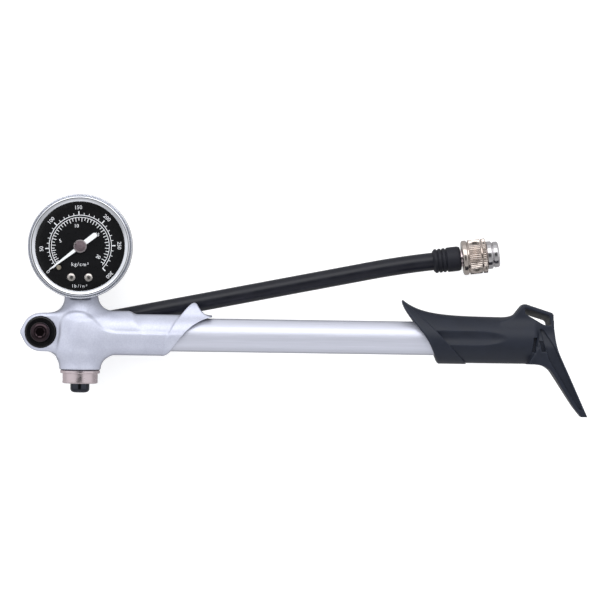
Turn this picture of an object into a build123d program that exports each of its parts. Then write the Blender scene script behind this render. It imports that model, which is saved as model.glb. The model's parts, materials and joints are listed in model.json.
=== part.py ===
from build123d import *
import os
from math import acos, atan2, cos, degrees, pi, radians, sin, sqrt, tan

# Shock suspension pump. Millimetres and degrees.
# +X runs along the barrel towards the handle, +Z up through the gauge, and the dial faces -Y.
# The origin is where the barrel's axis meets the vertical axis of the gauge and the bleed valve.

# ---------------------------------------------------------------- driving dimensions

FIT = 0.02              # radial gap of parts that are fixed together
RUN = 0.05              # radial gap of parts that turn or slide in each other

BARREL_R = 8.0
BARREL_BORE_R = 6.2
BARREL_START_X = 13.5
STROKE = 155.0
STROKE_MARGIN = 5.0     # what is left between piston and bumper at full stroke

ROD_R = 4.0
PISTON_START_X = 14.0
PISTON_LENGTH = 12.0
JOURNAL_R = 2.5         # end of the rod that turns in the piston
CLIP_GROOVE_R = 2.0
BUMPER_LENGTH = 4.0
GUIDE_LENGTH = 16.0
GUIDE_FLANGE = 1.5
WIPER_R = 5.5

SLEEVE_R = 10.0         # head sleeve that holds the barrel
SHOULDER_R = 11.2       # thicker root of the sleeve
COLUMN_R = 11.4         # upright column of the head
COLUMN_BOTTOM_Z = -17.2
NECK_R = 8.1
NECK_TOP_Z = 16.2
HEAD_BACK_Y = 9.5

EAR_X, EAR_Z = -18.5, 0.5
EAR_R = 9.2
EAR_FRONT_Y = -8.0
EAR_BACK_Y = 8.6
WASHER_R = 7.6
SWIVEL_BOLT_R = 3.5
BANJO_FRONT_Y = 9.6
BANJO_BACK_Y = 19.5

AIRWAY_R = 1.5
CHECK_SEAT_X = 8.5
CHECK_CHAMBER_X = 2.0
CHECK_BALL_R = 2.2
CHECK_HOLE_R = 1.4
CHECK_SEAT_R = 5.0

COLLAR_R = 8.55
COLLAR_BOTTOM_Z = -23.95
BLEED_GASKET_T = 1.0
BUTTON_R = 4.6
BUTTON_BOTTOM_Z = -28.3
BLEED_SEAT_Z = -9.5
BLEED_BORE_R = 6.0
BLEED_STEM_R = 1.2

GAUGE_Z = 41.6
BEZEL_R = 25.0
LIP_R = 21.3            # visible opening of the bezel
CASE_R = 23.2
CASE_WALL = 0.8
CASE_BACK_Y = 9.0
DIAL_FACE_Y = -9.8
DIAL_T = 0.5
DIAL_SCREW_X = 4.13
DIAL_SCREW_DROP = 14.8  # how far the dial screws are below the gauge's middle
SMALL_SCREW_R = 0.8
SOCKET_STEM_R = 4.85
FRONT_PLATE_Y = -8.4    # inner faces of the movement's plates
BACK_PLATE_Y = -0.9
MOVEMENT_SCREW_X, MOVEMENT_SCREW_Z = 4.0, 25.8
LENS_FRONT_Y = -12.9
LENS_T = 1.0
POINTER_ZERO_DEG = 218.0

GEAR_MODULE = 0.25
PINION_TEETH = 10
SECTOR_TEETH = 80       # teeth of the full wheel that the sector is cut from
SECTOR_TRAVEL_DEG = 32.8
TAIL_ARM = 6.0
BOURDON_R = 15.5
BOURDON_END_DEG = -35.0
BOURDON_SWEEP_DEG = 283.0

HOSE_Y = 14.5
HOSE_R = 4.3
HOSE_BORE_R = 2.05
HOSE_RISE_DEG = 11.4
FLEX_AT = 100.0         # along the hose from the swivel axis to the middle of the hose's bend
HOSE_STRAIGHT = 160.0
CHUCK_X, CHUCK_Z = 182.4, 38.84     # centre of the thumb nut's rear face
CHUCK_RISE_DEG = 7.2
NUT_R = 8.4
NUT_LENGTH = 11.9
TIP_END = 17.95
VALVE_THREAD_R = 3.85   # bore of the tip, for a 7.7 mm valve stem thread
KNURL_TEETH = 48

HANDLE_R = 11.15
HANDLE_AXIS_Z = -0.4
HANDLE_BORE_R = 8.7
HANDLE_BORE_END_X = 207.8
INSERT_R = 6.5
INSERT_END_X = 220.0
PIN_X, PIN_R = 213.0, 1.0

# ---------------------------------------------------------------- derived values

PISTON_END_X = PISTON_START_X + PISTON_LENGTH
BUMPER_X = PISTON_END_X + STROKE + STROKE_MARGIN
GUIDE_X = BUMPER_X + BUMPER_LENGTH
GUIDE_END_X = GUIDE_X + GUIDE_LENGTH
BARREL_END_X = GUIDE_END_X
CHECK_BALL_X = CHECK_SEAT_X - sqrt(CHECK_BALL_R ** 2 - CHECK_HOLE_R ** 2) - FIT
SECTOR_R = GEAR_MODULE * SECTOR_TEETH / 2
PINION_R = GEAR_MODULE * PINION_TEETH / 2
SECTOR_Z = GAUGE_Z - SECTOR_R - PINION_R
HOSE_DIR = Vector(cos(radians(HOSE_RISE_DEG)), 0, sin(radians(HOSE_RISE_DEG)))
CHUCK_DIR = Vector(cos(radians(CHUCK_RISE_DEG)), 0, sin(radians(CHUCK_RISE_DEG)))
SWIVEL = Vector(EAR_X, HOSE_Y, EAR_Z)
CHUCK = Vector(CHUCK_X, HOSE_Y, CHUCK_Z)
FORWARD = Vector(0, -1, 0)
BOTTOM_ALIGN = (Align.CENTER, Align.CENTER, Align.MIN)


# ---------------------------------------------------------------- shared shapes

def rod(radius, start, end):
    """A round bar between two points."""
    start, end = Vector(*start), Vector(*end)
    place = Plane(origin=start, z_dir=end - start)
    return place * Cylinder(radius, (end - start).length, align=BOTTOM_ALIGN)


def rod_x(radius, x0, x1, y=0, z=0):
    return rod(radius, (x0, y, z), (x1, y, z))


def rod_y(radius, y0, y1, x=0, z=0):
    return rod(radius, (x, y0, z), (x, y1, z))


def rod_z(radius, z0, z1, x=0, y=0):
    return rod(radius, (x, y, z0), (x, y, z1))


def block(x0, x1, y0, y1, z0, z1):
    size = (x1 - x0, y1 - y0, z1 - z0)
    return Pos((x0 + x1) / 2, (y0 + y1) / 2, (z0 + z1) / 2) * Box(*size)


def turned(profile, origin, direction, arc=360.0, x_dir=None):
    """A turned part. The profile's points are (radius, distance along the axis)."""
    face = make_face(Plane.XZ * Polyline(*profile, close=True))
    return Plane(origin=origin, z_dir=direction, x_dir=x_dir) * revolve(face, Axis.Z, arc)


def plate(face, y_front, y_back):
    """A flat piece whose face is drawn in front view (x, z), between two depths."""
    front_view = Plane(origin=(0, y_back, 0), x_dir=(1, 0, 0), z_dir=FORWARD)
    return extrude(front_view * face, y_back - y_front)


def outline(*points):
    return make_face(Polyline(*points, close=True))


def disc(radius, x=0, z=0):
    return Pos(x, z) * Circle(radius)


def polar(radius, angle, x=0, z=0):
    return (x + radius * cos(radians(angle)), z + radius * sin(radians(angle)))


def along(distance):
    """A point on the hose's straight line, measured from the swivel axis."""
    return SWIVEL + HOSE_DIR * distance


def chuck_point(distance):
    """A point on the chuck's axis, measured from the thumb nut's rear face."""
    return CHUCK + CHUCK_DIR * distance


def hose_rod(radius, start, end):
    return rod(radius, along(start), along(end))


def chuck_rod(radius, start, end):
    return rod(radius, chuck_point(start), chuck_point(end))


def tube_along(path, radius):
    place = Plane(origin=path @ 0, z_dir=path % 0)
    return sweep(place * Circle(radius), path=path)


def coil(radius, wire_r, pitch, length, origin, direction):
    """A round-wire compression spring."""
    path = Helix(pitch, length, radius)
    spring = sweep(Plane(origin=path @ 0, z_dir=path % 0) * Circle(wire_r), path=path, is_frenet=True)
    return Plane(origin=origin, z_dir=direction) * spring


# ---------------------------------------------------------------- head

def sleeve_end_cut():
    """What is cut away where the sleeve sweeps up and over the barrel to a pointed lip."""
    edge = Spline((42.7, -10.1), (49.0, -0.4), (53.2, 3.9), (58.0, 7.0), (62.8, 8.6))
    rest = Polyline((62.8, 8.6), (62.8, 20.0), (80.0, 20.0), (80.0, -14.0), (40.2, -14.0), (42.7, -10.1))
    return plate(make_face(edge + rest), -20, 20)


def head_fin():
    """The upright fin on the sleeve, in front of the hose."""
    front = Spline((43.0, 2.0), (46.5, 7.2), (53.2, 14.9))
    top = Line((53.2, 14.9), (55.0, 15.4))
    back = Spline((55.0, 15.4), (57.2, 12.2), (62.6, 8.6))
    return plate(make_face(front + top + back + Line((62.6, 8.6), (43.0, 2.0))), -3.5, 3.5)


def head_outside():
    sleeve = rod_x(SLEEVE_R, 0, 62.8) - sleeve_end_cut()
    shoulder_top = outline((0, -12), (17, -12), (31, 3.5), (24.4, 12), (0, 12))
    shoulder = rod_x(SHOULDER_R, 0, 31) & plate(shoulder_top, -12, 12)
    dome = Pos(0, 0, -1.1) * Sphere(COLUMN_R)
    column = rod_z(COLUMN_R, COLUMN_BOTTOM_Z, -1.1) + dome
    neck_profile = [(0, 0), (13.5, 0), (11.5, 8.0), (9.2, 12.4), (NECK_R, NECK_TOP_Z), (0, NECK_TOP_Z)]
    neck = turned(neck_profile, (0, 0, 0), (0, 0, 1))
    ear = rod_y(EAR_R, EAR_FRONT_Y, EAR_BACK_Y, EAR_X, EAR_Z)
    web = outline(
        (EAR_X, EAR_Z + EAR_R), (-9.5, 12.0), (0, 12.0), (0, -15.0), (-COLUMN_R, -13.0), (-14.2, -8.2),
        (EAR_X, EAR_Z - EAR_R)
    )
    body = sleeve + shoulder + column + neck + ear + plate(web, -7.0, 7.5) + head_fin()
    return body & block(-60, 90, -14, HEAD_BACK_Y, -40, 40)


def head_body():
    ear_recess = rod_y(WASHER_R, EAR_FRONT_Y - 1, EAR_FRONT_Y + 1.0, EAR_X, EAR_Z)
    ear_groove = rod_y(4.6, -2, 2, EAR_X, EAR_Z)
    bores = [
        rod_x(BARREL_R + FIT, 12, 70),
        rod_x(CHECK_SEAT_R + FIT, CHECK_SEAT_X, 12.5),
        rod_x(3.2, CHECK_CHAMBER_X, CHECK_SEAT_X + 0.5),
        rod_x(AIRWAY_R, EAR_X, CHECK_CHAMBER_X + 0.5),
        rod_z(AIRWAY_R, -6, 10),
        rod_z(SOCKET_STEM_R + FIT, 8.0, 20),
        rod_z(4.0, BLEED_SEAT_Z - 0.5, -5.0),
        rod_z(BLEED_BORE_R + FIT, COLUMN_BOTTOM_Z - 1, BLEED_SEAT_Z),
        rod_y(SWIVEL_BOLT_R + FIT, -20, 20, EAR_X, EAR_Z),
        ear_recess,
        ear_groove,
    ]
    body = head_outside()
    for bore in bores:
        body -= bore
    return body


# ---------------------------------------------------------------- barrel, piston and rod

def barrel():
    tube = rod_x(BARREL_R, BARREL_START_X, BARREL_END_X)
    tube -= rod_x(BARREL_BORE_R, BARREL_START_X - 1, BARREL_END_X + 1)
    return chamfer(tube.edges().filter_by(GeomType.CIRCLE).group_by(Axis.X)[-1], 0.3)


def barrel_seal():
    return rod_x(BARREL_R - FIT, 12 + FIT, BARREL_START_X - FIT) - rod_x(BARREL_BORE_R, 11, 14)


def rod_guide():
    sleeve = rod_x(BARREL_BORE_R - FIT, GUIDE_X, GUIDE_END_X)
    flange = rod_x(BARREL_R - 0.1, GUIDE_END_X + FIT, GUIDE_END_X + GUIDE_FLANGE)
    joined = sleeve + flange + rod_x(BARREL_BORE_R - FIT, GUIDE_END_X - 1, GUIDE_END_X + 1)
    wiper_groove = rod_x(WIPER_R, GUIDE_END_X - 2.0, GUIDE_END_X + GUIDE_FLANGE + 1)
    return joined - rod_x(ROD_R + RUN, GUIDE_X - 1, GUIDE_END_X + 4) - wiper_groove


def rod_wiper():
    ring = rod_x(WIPER_R - FIT, GUIDE_END_X - 2 + FIT, GUIDE_END_X + 1.0)
    return ring - rod_x(ROD_R + RUN, GUIDE_END_X - 3, GUIDE_END_X + 2)


def top_out_bumper():
    start, end = BUMPER_X, BUMPER_X + BUMPER_LENGTH - FIT
    return rod_x(5.9, start, end) - rod_x(ROD_R + 0.1, start - 1, end + 1)


def piston():
    body = rod_x(BARREL_BORE_R - RUN, PISTON_START_X, PISTON_END_X)
    ring_groove = rod_x(BARREL_BORE_R, 18, 21) - rod_x(4.7, 17, 22)
    journal = rod_x(JOURNAL_R + RUN, PISTON_START_X - 1, PISTON_END_X + 1)
    clip_recess = rod_x(4.2, PISTON_START_X - 1, PISTON_START_X + 2.0)
    return body - ring_groove - journal - clip_recess


def piston_ring():
    return rod_x(BARREL_BORE_R - RUN, 18 + FIT, 21 - FIT) - rod_x(4.7 + FIT, 17, 22)


def piston_rod():
    body = rod_x(ROD_R, PISTON_END_X + RUN, 218)
    journal = rod_x(JOURNAL_R, PISTON_START_X + 0.3, PISTON_END_X + 1)
    clip_groove = rod_x(3, PISTON_START_X + 0.9, PISTON_START_X + 1.7) - rod_x(CLIP_GROOVE_R, 14, 16)
    return body + journal - clip_groove - rod_y(PIN_R + FIT, -10, 10, PIN_X)


def piston_clip():
    start = PISTON_START_X + 0.95
    ring = rod_x(3.8, start, start + 0.7) - rod_x(CLIP_GROOVE_R + FIT, start - 1, start + 2)
    return ring - block(start - 1, start + 2, -1.2, 1.2, 0, 5)


# ---------------------------------------------------------------- check valve

def check_valve_seat():
    seat = rod_x(CHECK_SEAT_R, CHECK_SEAT_X + FIT, 12 - FIT) - rod_x(CHECK_HOLE_R, 5, 13)
    spanner_slot = block(11.2, 12.5, -5.5, 5.5, -0.6, 0.6)
    return seat - spanner_slot


def check_ball():
    return Pos(CHECK_BALL_X, 0, 0) * Sphere(CHECK_BALL_R)


def check_spring():
    return coil(1.9, 0.2, 0.7, 2.5, (CHECK_CHAMBER_X + 0.25, 0, 0), (1, 0, 0))


# ---------------------------------------------------------------- bleed valve

def bleed_gasket():
    top = COLUMN_BOTTOM_Z
    return rod_z(9.45, top - BLEED_GASKET_T + FIT, top - FIT) - rod_z(6.1, top - 2, top + 1)


def bleed_collar():
    flange_top = COLUMN_BOTTOM_Z - BLEED_GASKET_T
    profile = [
        (0, COLLAR_BOTTOM_Z), (COLLAR_R - 0.5, COLLAR_BOTTOM_Z), (COLLAR_R, COLLAR_BOTTOM_Z + 0.5),
        (COLLAR_R, flange_top - 0.4), (COLLAR_R - 0.4, flange_top), (BLEED_BORE_R, flange_top),
        (BLEED_BORE_R, BLEED_SEAT_Z - FIT), (0, BLEED_SEAT_Z - FIT),
    ]
    body = turned(profile, (0, 0, 0), (0, 0, 1))
    body -= rod_z(BUTTON_R + RUN, COLLAR_BOTTOM_Z - 1, -14.5)
    body -= rod_z(1.45, -15, BLEED_SEAT_Z + 1) + rod_z(1.9, -11.5, BLEED_SEAT_Z + 1)
    wrench_slot = block(6.9, 10, -1.6, 1.6, COLLAR_BOTTOM_Z - 1, COLLAR_BOTTOM_Z + 3.6)
    for angle in (15, 195):
        body -= Rot(0, 0, angle) * wrench_slot
    return body


def bleed_button():
    profile = [
        (0, BUTTON_BOTTOM_Z), (3.7, BUTTON_BOTTOM_Z), (4.4, BUTTON_BOTTOM_Z + 0.4),
        (BUTTON_R, BUTTON_BOTTOM_Z + 1.2), (BUTTON_R, -19.9), (BUTTON_R - 0.4, -19.5), (0, -19.5),
    ]
    body = turned(profile, (0, 0, 0), (0, 0, 1)) - rod_z(BLEED_STEM_R + FIT, -23.0, -19)
    air_groove = block(BUTTON_R - 0.6, BUTTON_R + 1, -0.6, 0.6, -25.5, -19)
    for angle in (90, 270):
        body -= Rot(0, 0, angle) * air_groove
    return body


def bleed_stem():
    return rod_z(BLEED_STEM_R, -22.9, -8.0) + rod_z(2.6, -8.6, -7.8)


def bleed_seal():
    return rod_z(3.0, BLEED_SEAT_Z + FIT, -8.6 - FIT) - rod_z(BLEED_STEM_R + FIT, -12, -8)


def bleed_spring():
    return coil(2.6, 0.35, 1.15, 3.9, (0, 0, -19.0), (0, 0, 1))


# ---------------------------------------------------------------- gauge

def gauge_turned(profile):
    """A turned part of the gauge. Distance along the axis is counted towards the dial's front."""
    return turned(profile, (0, 0, GAUGE_Z), FORWARD)


def gauge_case():
    back, front, inner = -CASE_BACK_Y, 9.9, CASE_R - CASE_WALL
    profile = [
        (0, back), (CASE_R - 2.2, back), (CASE_R - 0.7, back + 0.7), (CASE_R, back + 2.2), (CASE_R, front),
        (inner, front), (inner, back + 2.4), (inner - 1.8, back + CASE_WALL), (0, back + CASE_WALL),
    ]
    return gauge_turned(profile) - rod_z(5.0, 10, 22)


def gauge_bezel():
    inner = CASE_R + FIT
    profile = [
        (inner, 6.6), (BEZEL_R - 0.3, 6.6), (BEZEL_R, 6.9), (BEZEL_R, 11.2), (24.7, 11.7), (24.1, 11.9),
        (23.8, 11.8), (23.5, 12.4), (22.9, 13.1), (22.2, 13.5), (LIP_R + 0.3, 13.3), (LIP_R, 12.9),
        (inner, 12.9),
    ]
    return gauge_turned(profile)


def gauge_lens():
    front, back = -LENS_FRONT_Y - 0.1, -LENS_FRONT_Y - LENS_T
    rim = CASE_R - FIT
    return gauge_turned([(0, back), (rim, back), (rim, front - 0.2), (CASE_R - 0.2, front), (0, front)])


def lens_gasket():
    front, back = LENS_FRONT_Y + LENS_T + FIT, -9.9 - FIT
    return rod_y(CASE_R, front, back, 0, GAUGE_Z) - rod_y(21.5, front - 1, back + 1, 0, GAUGE_Z)


def gauge_socket():
    stem = rod_z(SOCKET_STEM_R, 8.6, 20.6)
    flats = block(-5.5, 5.5, -5.5, 5.5, 17.3, 18.2)
    tube_block = block(-6.5, 6.5, 0, 6.5, 20.4, 29.0)
    body = stem + flats + tube_block
    body -= rod_z(0.8, 8, 27.2, 0, 2.5)
    body -= rod(0.7, (0.5, 2.5, 27.0), (-6.0, 3.5, 27.0))
    body -= bourdon_section(1.8 + 2 * FIT, 4.4 + 2 * FIT, BOURDON_END_DEG + BOURDON_SWEEP_DEG - 16, 17)
    for x in (-MOVEMENT_SCREW_X, MOVEMENT_SCREW_X):
        body -= rod_y(SMALL_SCREW_R + FIT, -1, 3, x, MOVEMENT_SCREW_Z)
    return body


def gauge_stem_seal():
    return rod_z(6.6, NECK_TOP_Z + FIT, 17.3 - FIT) - rod_z(SOCKET_STEM_R + FIT, 15, 18)


def dial_plate():
    face = disc(22.3, 0, GAUGE_Z) - disc(1.2, 0, GAUGE_Z)
    for x in (-DIAL_SCREW_X, DIAL_SCREW_X):
        face -= disc(SMALL_SCREW_R + FIT, x, GAUGE_Z - DIAL_SCREW_DROP)
    face -= disc(0.6 + FIT, *zero_stop_place())
    return plate(face, DIAL_FACE_Y, DIAL_FACE_Y + DIAL_T)


def zero_stop_place():
    return polar(14.3, 225.5, 0, GAUGE_Z)


def zero_stop_pin():
    x, z = zero_stop_place()
    head = rod_y(1.1, DIAL_FACE_Y - 1.3, DIAL_FACE_Y - FIT, x, z)
    return head + rod_y(0.6, DIAL_FACE_Y - 1, DIAL_FACE_Y + DIAL_T, x, z)


def dial_screws():
    head = [(2.1, FIT), (2.1, 0.35), (1.7, 0.8), (1.0, 1.05), (0, 1.15)]
    profile = [(0, -3.2), (SMALL_SCREW_R, -3.2), (SMALL_SCREW_R, FIT)] + head
    z = GAUGE_Z - DIAL_SCREW_DROP
    screws = []
    for x in (-DIAL_SCREW_X, DIAL_SCREW_X):
        slot = block(x - 1.3, x + 1.3, DIAL_FACE_Y - 2, DIAL_FACE_Y - 0.75, z - 0.25, z + 0.25)
        screws.append(turned(profile, (x, DIAL_FACE_Y, z), FORWARD) - slot)
    return screws


def bourdon_section(width, depth, start, sweep_deg):
    """A stretch of the C-shaped tube's section, from an angle counted anticlockwise in front view."""
    r0, r1 = BOURDON_R - width / 2, BOURDON_R + width / 2
    s0, s1 = -3.5 - depth / 2, -3.5 + depth / 2
    x_dir = (cos(radians(start)), 0, sin(radians(start)))
    return turned([(r0, s0), (r1, s0), (r1, s1), (r0, s1)], (0, 0, GAUGE_Z), FORWARD, sweep_deg, x_dir)


def bourdon_tube():
    outside = bourdon_section(1.8, 4.4, BOURDON_END_DEG, BOURDON_SWEEP_DEG)
    return outside - bourdon_section(0.9, 3.4, BOURDON_END_DEG - 1, BOURDON_SWEEP_DEG + 2)


def bourdon_pin_place():
    return polar(BOURDON_R, BOURDON_END_DEG - 3.5, 0, GAUGE_Z)


def bourdon_tip():
    x, z = bourdon_pin_place()
    cap = bourdon_section(2.4, 5.0, BOURDON_END_DEG - 7, 6.9)
    return cap + rod_y(0.5, -5.6, 3, x, z)


def movement_plates():
    """Two brass plates that carry the arbors."""
    face = Pos(0, 35) * RectangleRounded(17, 22, 2)
    face -= disc(0.45, 0, GAUGE_Z) + disc(0.65, 0, SECTOR_Z)
    for x, z in pillar_places():
        face -= disc(0.7, x, z)
    back_face = face
    for x in (-MOVEMENT_SCREW_X, MOVEMENT_SCREW_X):
        back_face -= disc(SMALL_SCREW_R + FIT, x, MOVEMENT_SCREW_Z)
    front_face = face
    for x in (-DIAL_SCREW_X, DIAL_SCREW_X):
        front_face -= disc(SMALL_SCREW_R + FIT, x, GAUGE_Z - DIAL_SCREW_DROP)
    return [plate(front_face, FRONT_PLATE_Y - 0.8, FRONT_PLATE_Y), plate(back_face, BACK_PLATE_Y, -FIT)]


def pillar_places():
    return [(-6.8, 28.0), (-6.8, 44.2), (6.8, 44.2)]


def movement_pillars():
    pillars = []
    for x, z in pillar_places():
        pillar = rod_y(1.2, FRONT_PLATE_Y + FIT, BACK_PLATE_Y - FIT, x, z)
        pillars.append(pillar + rod_y(0.68, -9.1, -0.2, x, z))
    return pillars


def movement_screws():
    screws = []
    for x in (-MOVEMENT_SCREW_X, MOVEMENT_SCREW_X):
        head = rod_y(1.4, -1.8, BACK_PLATE_Y - FIT, x, MOVEMENT_SCREW_Z)
        screws.append(head + rod_y(SMALL_SCREW_R, -1.5, 2.8, x, MOVEMENT_SCREW_Z))
    return screws


def hairspring():
    """A flat spiral spring round the pointer's arbor, anchored on the back plate."""
    turns, first_r, last_r, strip = 3.0, 1.3, 4.6, 0.16
    steps = 36

    def edge(offset):
        points = []
        for i in range(steps + 1):
            share = i / steps
            radius = first_r + (last_r - first_r) * share + offset
            points.append(polar(radius, 360 * turns * share, 0, GAUGE_Z))
        return points

    inner, outer = edge(0), edge(strip)
    ends = Line(inner[-1], outer[-1]) + Line(inner[0], outer[0])
    return plate(make_face(Spline(*inner) + Spline(*outer) + ends), -2.4, -1.7)


# ---------------------------------------------------------------- gauge gears and pointer

def involute_flank(base_r, tip_r, root_r, steps=5):
    """(radius, turn in radians) of an involute flank from its root to its tip."""
    points = []
    if root_r < base_r:
        points.append((root_r, 0.0))
    start_r = max(base_r, root_r)
    for i in range(steps + 1):
        radius = start_r + (tip_r - start_r) * i / steps
        pressure = acos(min(1.0, base_r / radius))
        points.append((radius, tan(pressure) - pressure))
    return points


def tooth_points(teeth, centre_deg, addendum, dedendum, backlash, x, z):
    pitch_r = GEAR_MODULE * teeth / 2
    pressure = radians(20)
    base_r = pitch_r * cos(pressure)
    half = (pi * GEAR_MODULE / 2 - backlash) / 2 / pitch_r + tan(pressure) - pressure
    flank = involute_flank(base_r, pitch_r + addendum, pitch_r - dedendum)
    rising = [polar(r, centre_deg - degrees(half - turn), x, z) for r, turn in flank]
    falling = [polar(r, centre_deg + degrees(half - turn), x, z) for r, turn in reversed(flank)]
    return rising + falling


def pinion():
    points = []
    for i in range(PINION_TEETH):
        points += tooth_points(PINION_TEETH, -90 + 360 * i / PINION_TEETH, 0.2, 0.34, 0.08, 0, GAUGE_Z)
    return plate(outline(*points), -6.0, -2.9)


def tail_place():
    """The link's pin on the sector's tail, at zero pressure."""
    return polar(TAIL_ARM, -35 - SECTOR_TRAVEL_DEG / 2, 0, SECTOR_Z)


def sector_gear():
    """The toothed sector, shown at zero pressure with a tooth gap facing the pinion."""
    pitch_deg = 360 / SECTOR_TEETH
    points = []
    for gap in range(-9, 2):
        points += tooth_points(SECTOR_TEETH, 90 + pitch_deg * (gap + 0.5), 0.14, 0.3, 0.08, 0, SECTOR_Z)
    wedge = outline(*points, polar(2.0, 140, 0, SECTOR_Z), polar(2.0, 10, 0, SECTOR_Z))
    x, z = tail_place()
    tail_turn = Rot(0, 0, degrees(atan2(z - SECTOR_Z, x)))
    tail = Pos(x / 2, (z + SECTOR_Z) / 2) * tail_turn * Rectangle(TAIL_ARM, 1.5)
    face = wedge + disc(2.2, 0, SECTOR_Z) + tail + disc(1.1, x, z) - disc(0.6 + FIT, 0, SECTOR_Z)
    return plate(face, -4.3, -3.5) + rod_y(0.5, -5.5, -3.6, x, z)


def sector_arbor():
    return rod_y(0.6, -9.1, -0.1, 0, SECTOR_Z) - rod_y(0.55, -9.2, -9.0, 0, SECTOR_Z)


def gauge_link():
    """The link from the tube's tip to the sector, with a slot in place of the tip's own travel."""
    x0, z0 = tail_place()
    x1, z1 = bourdon_pin_place()
    length = sqrt((x1 - x0) ** 2 + (z1 - z0) ** 2)
    slot_start, slot_end = length - 3.9, length + 0.3
    bar = Pos((length + 1.2) / 2, 0) * SlotOverall(length + 4.0, 3.0)
    hole = Circle(0.5 + RUN)
    slot = Pos((slot_start + slot_end) / 2, 0) * SlotCenterToCenter(slot_end - slot_start, 1.9)
    face = Pos(x0, z0) * Rot(0, 0, degrees(atan2(z1 - z0, x1 - x0))) * (bar - hole - slot)
    return plate(face, -5.35, -4.65)


def pointer_arbor():
    shaft = rod_y(0.4, -11.4, -0.1, 0, GAUGE_Z) + rod_y(0.5, -8.3, -1.0, 0, GAUGE_Z)
    return shaft + pinion()


def pointer():
    """A tapered needle with a rounded tail and a flat hub, resting at zero."""
    needle = outline((0, 0.72), (18.6, 0.2), (18.6, -0.2), (0, -0.72))
    tail = Pos(-5.0, 0) * SlotOverall(10.0, 2.1)
    turn = Rot(0, 0, POINTER_ZERO_DEG)
    face = Pos(0, GAUGE_Z) * turn * (needle + tail)
    blade = plate(face, -11.15, -10.85)
    hub = gauge_turned(
        [(0, 10.5), (2.4, 10.5), (3.2, 10.9), (3.2, 11.4), (2.9, 11.6), (2.5, 11.6), (2.4, 11.5), (0, 11.5)]
    )
    return blade + hub - rod_y(0.4 + FIT, -11.42, -10, 0, GAUGE_Z)


# ---------------------------------------------------------------- hose swivel

def swivel_bolt():
    profile = [
        (0, -25.0), (SWIVEL_BOLT_R - 0.4, -25.0), (SWIVEL_BOLT_R, -24.6), (SWIVEL_BOLT_R, 8.6), (4.9, 8.6),
        (4.9, 9.6), (4.7, 10.3), (4.2, 11.0), (3.5, 11.5), (2.6, 11.8), (0, 11.8),
    ]
    body = turned(profile, (EAR_X, 0, EAR_Z), FORWARD)
    socket = Pos(EAR_X, EAR_Z) * RegularPolygon(4.0 / sqrt(3), 6)
    body -= plate(socket, -12.5, -9.4)
    body -= rod_y(1.1, -1.5, 16.0, EAR_X, EAR_Z)
    body -= rod_x(1.1, EAR_X - 5, EAR_X + 5, 0, EAR_Z)
    body -= rod_x(1.1, EAR_X - 5, EAR_X + 5, HOSE_Y, EAR_Z)
    return body


def swivel_washer():
    front, back = EAR_FRONT_Y - 0.6 + FIT, EAR_FRONT_Y + 1.0 - FIT
    washer = rod_y(WASHER_R - RUN, front, back, EAR_X, EAR_Z)
    washer -= rod_y(SWIVEL_BOLT_R + FIT, front - 1, back + 1, EAR_X, EAR_Z)
    front_circles = washer.edges().filter_by(GeomType.CIRCLE).group_by(Axis.Y)[0]
    return chamfer(front_circles.sort_by(SortBy.RADIUS)[-1], 0.3)


def swivel_seals():
    seals = []
    for front in (EAR_BACK_Y + FIT, BANJO_BACK_Y + RUN):
        ring = rod_y(6.0, front, front + 0.8, EAR_X, EAR_Z)
        seals.append(ring - rod_y(SWIVEL_BOLT_R + 0.1, 0, 30, EAR_X, EAR_Z))
    return seals


def swivel_nut():
    across_flats = 11.0
    nut = plate(Pos(EAR_X, EAR_Z) * RegularPolygon(across_flats / sqrt(3), 6), 20.45, 24.4)
    crown_profile = [(0, -24.4), (5.2, -24.4), (6.4, -23.6), (6.4, -20), (0, -20)]
    crown = turned(crown_profile, (EAR_X, 0, EAR_Z), FORWARD)
    return (nut & crown) - rod_y(SWIVEL_BOLT_R + FIT, 20, 26, EAR_X, EAR_Z)


def banjo_fitting():
    eye = rod_y(8.0, BANJO_FRONT_Y, BANJO_BACK_Y, EAR_X, EAR_Z)
    eye = chamfer(eye.edges().filter_by(GeomType.CIRCLE), 0.6)
    body = eye + hose_rod(4.6, 4, 13.8) + hose_rod(HOSE_BORE_R - FIT, 13, 26)
    for start in (15, 18, 21):
        body -= hose_rod(3, start, start + 0.6) - hose_rod(1.75, start - 1, start + 2)
    body -= hose_rod(1.2, 3, 27)
    body -= rod_y(SWIVEL_BOLT_R + RUN, BANJO_FRONT_Y - 1, BANJO_BACK_Y + 1, EAR_X, EAR_Z)
    return body - rod_y(4.6, HOSE_Y - 1.5, HOSE_Y + 1.5, EAR_X, EAR_Z)


def hose_ferrule():
    shell = hose_rod(4.9, 15, 27) - hose_rod(HOSE_R + FIT, 14, 28)
    for start in (17.5, 20.5, 23.5):
        shell -= hose_rod(6, start, start + 1.2) - hose_rod(4.65, start - 1, start + 3)
    return shell


# ---------------------------------------------------------------- hose

def flex_cylinder(radius):
    """A drum across the hose at the middle of its bend."""
    middle = along(FLEX_AT)
    return rod_y(radius, HOSE_Y - 8, HOSE_Y + 8, middle.X, middle.Z)


def hose_inner():
    """The half of the hose next to the swivel, hollowed to clear the rounded end of the other half."""
    tube = hose_rod(HOSE_R, 14, FLEX_AT - 2.5) - hose_rod(HOSE_BORE_R, 13, FLEX_AT)
    return tube - flex_cylinder(HOSE_R + RUN)


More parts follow.
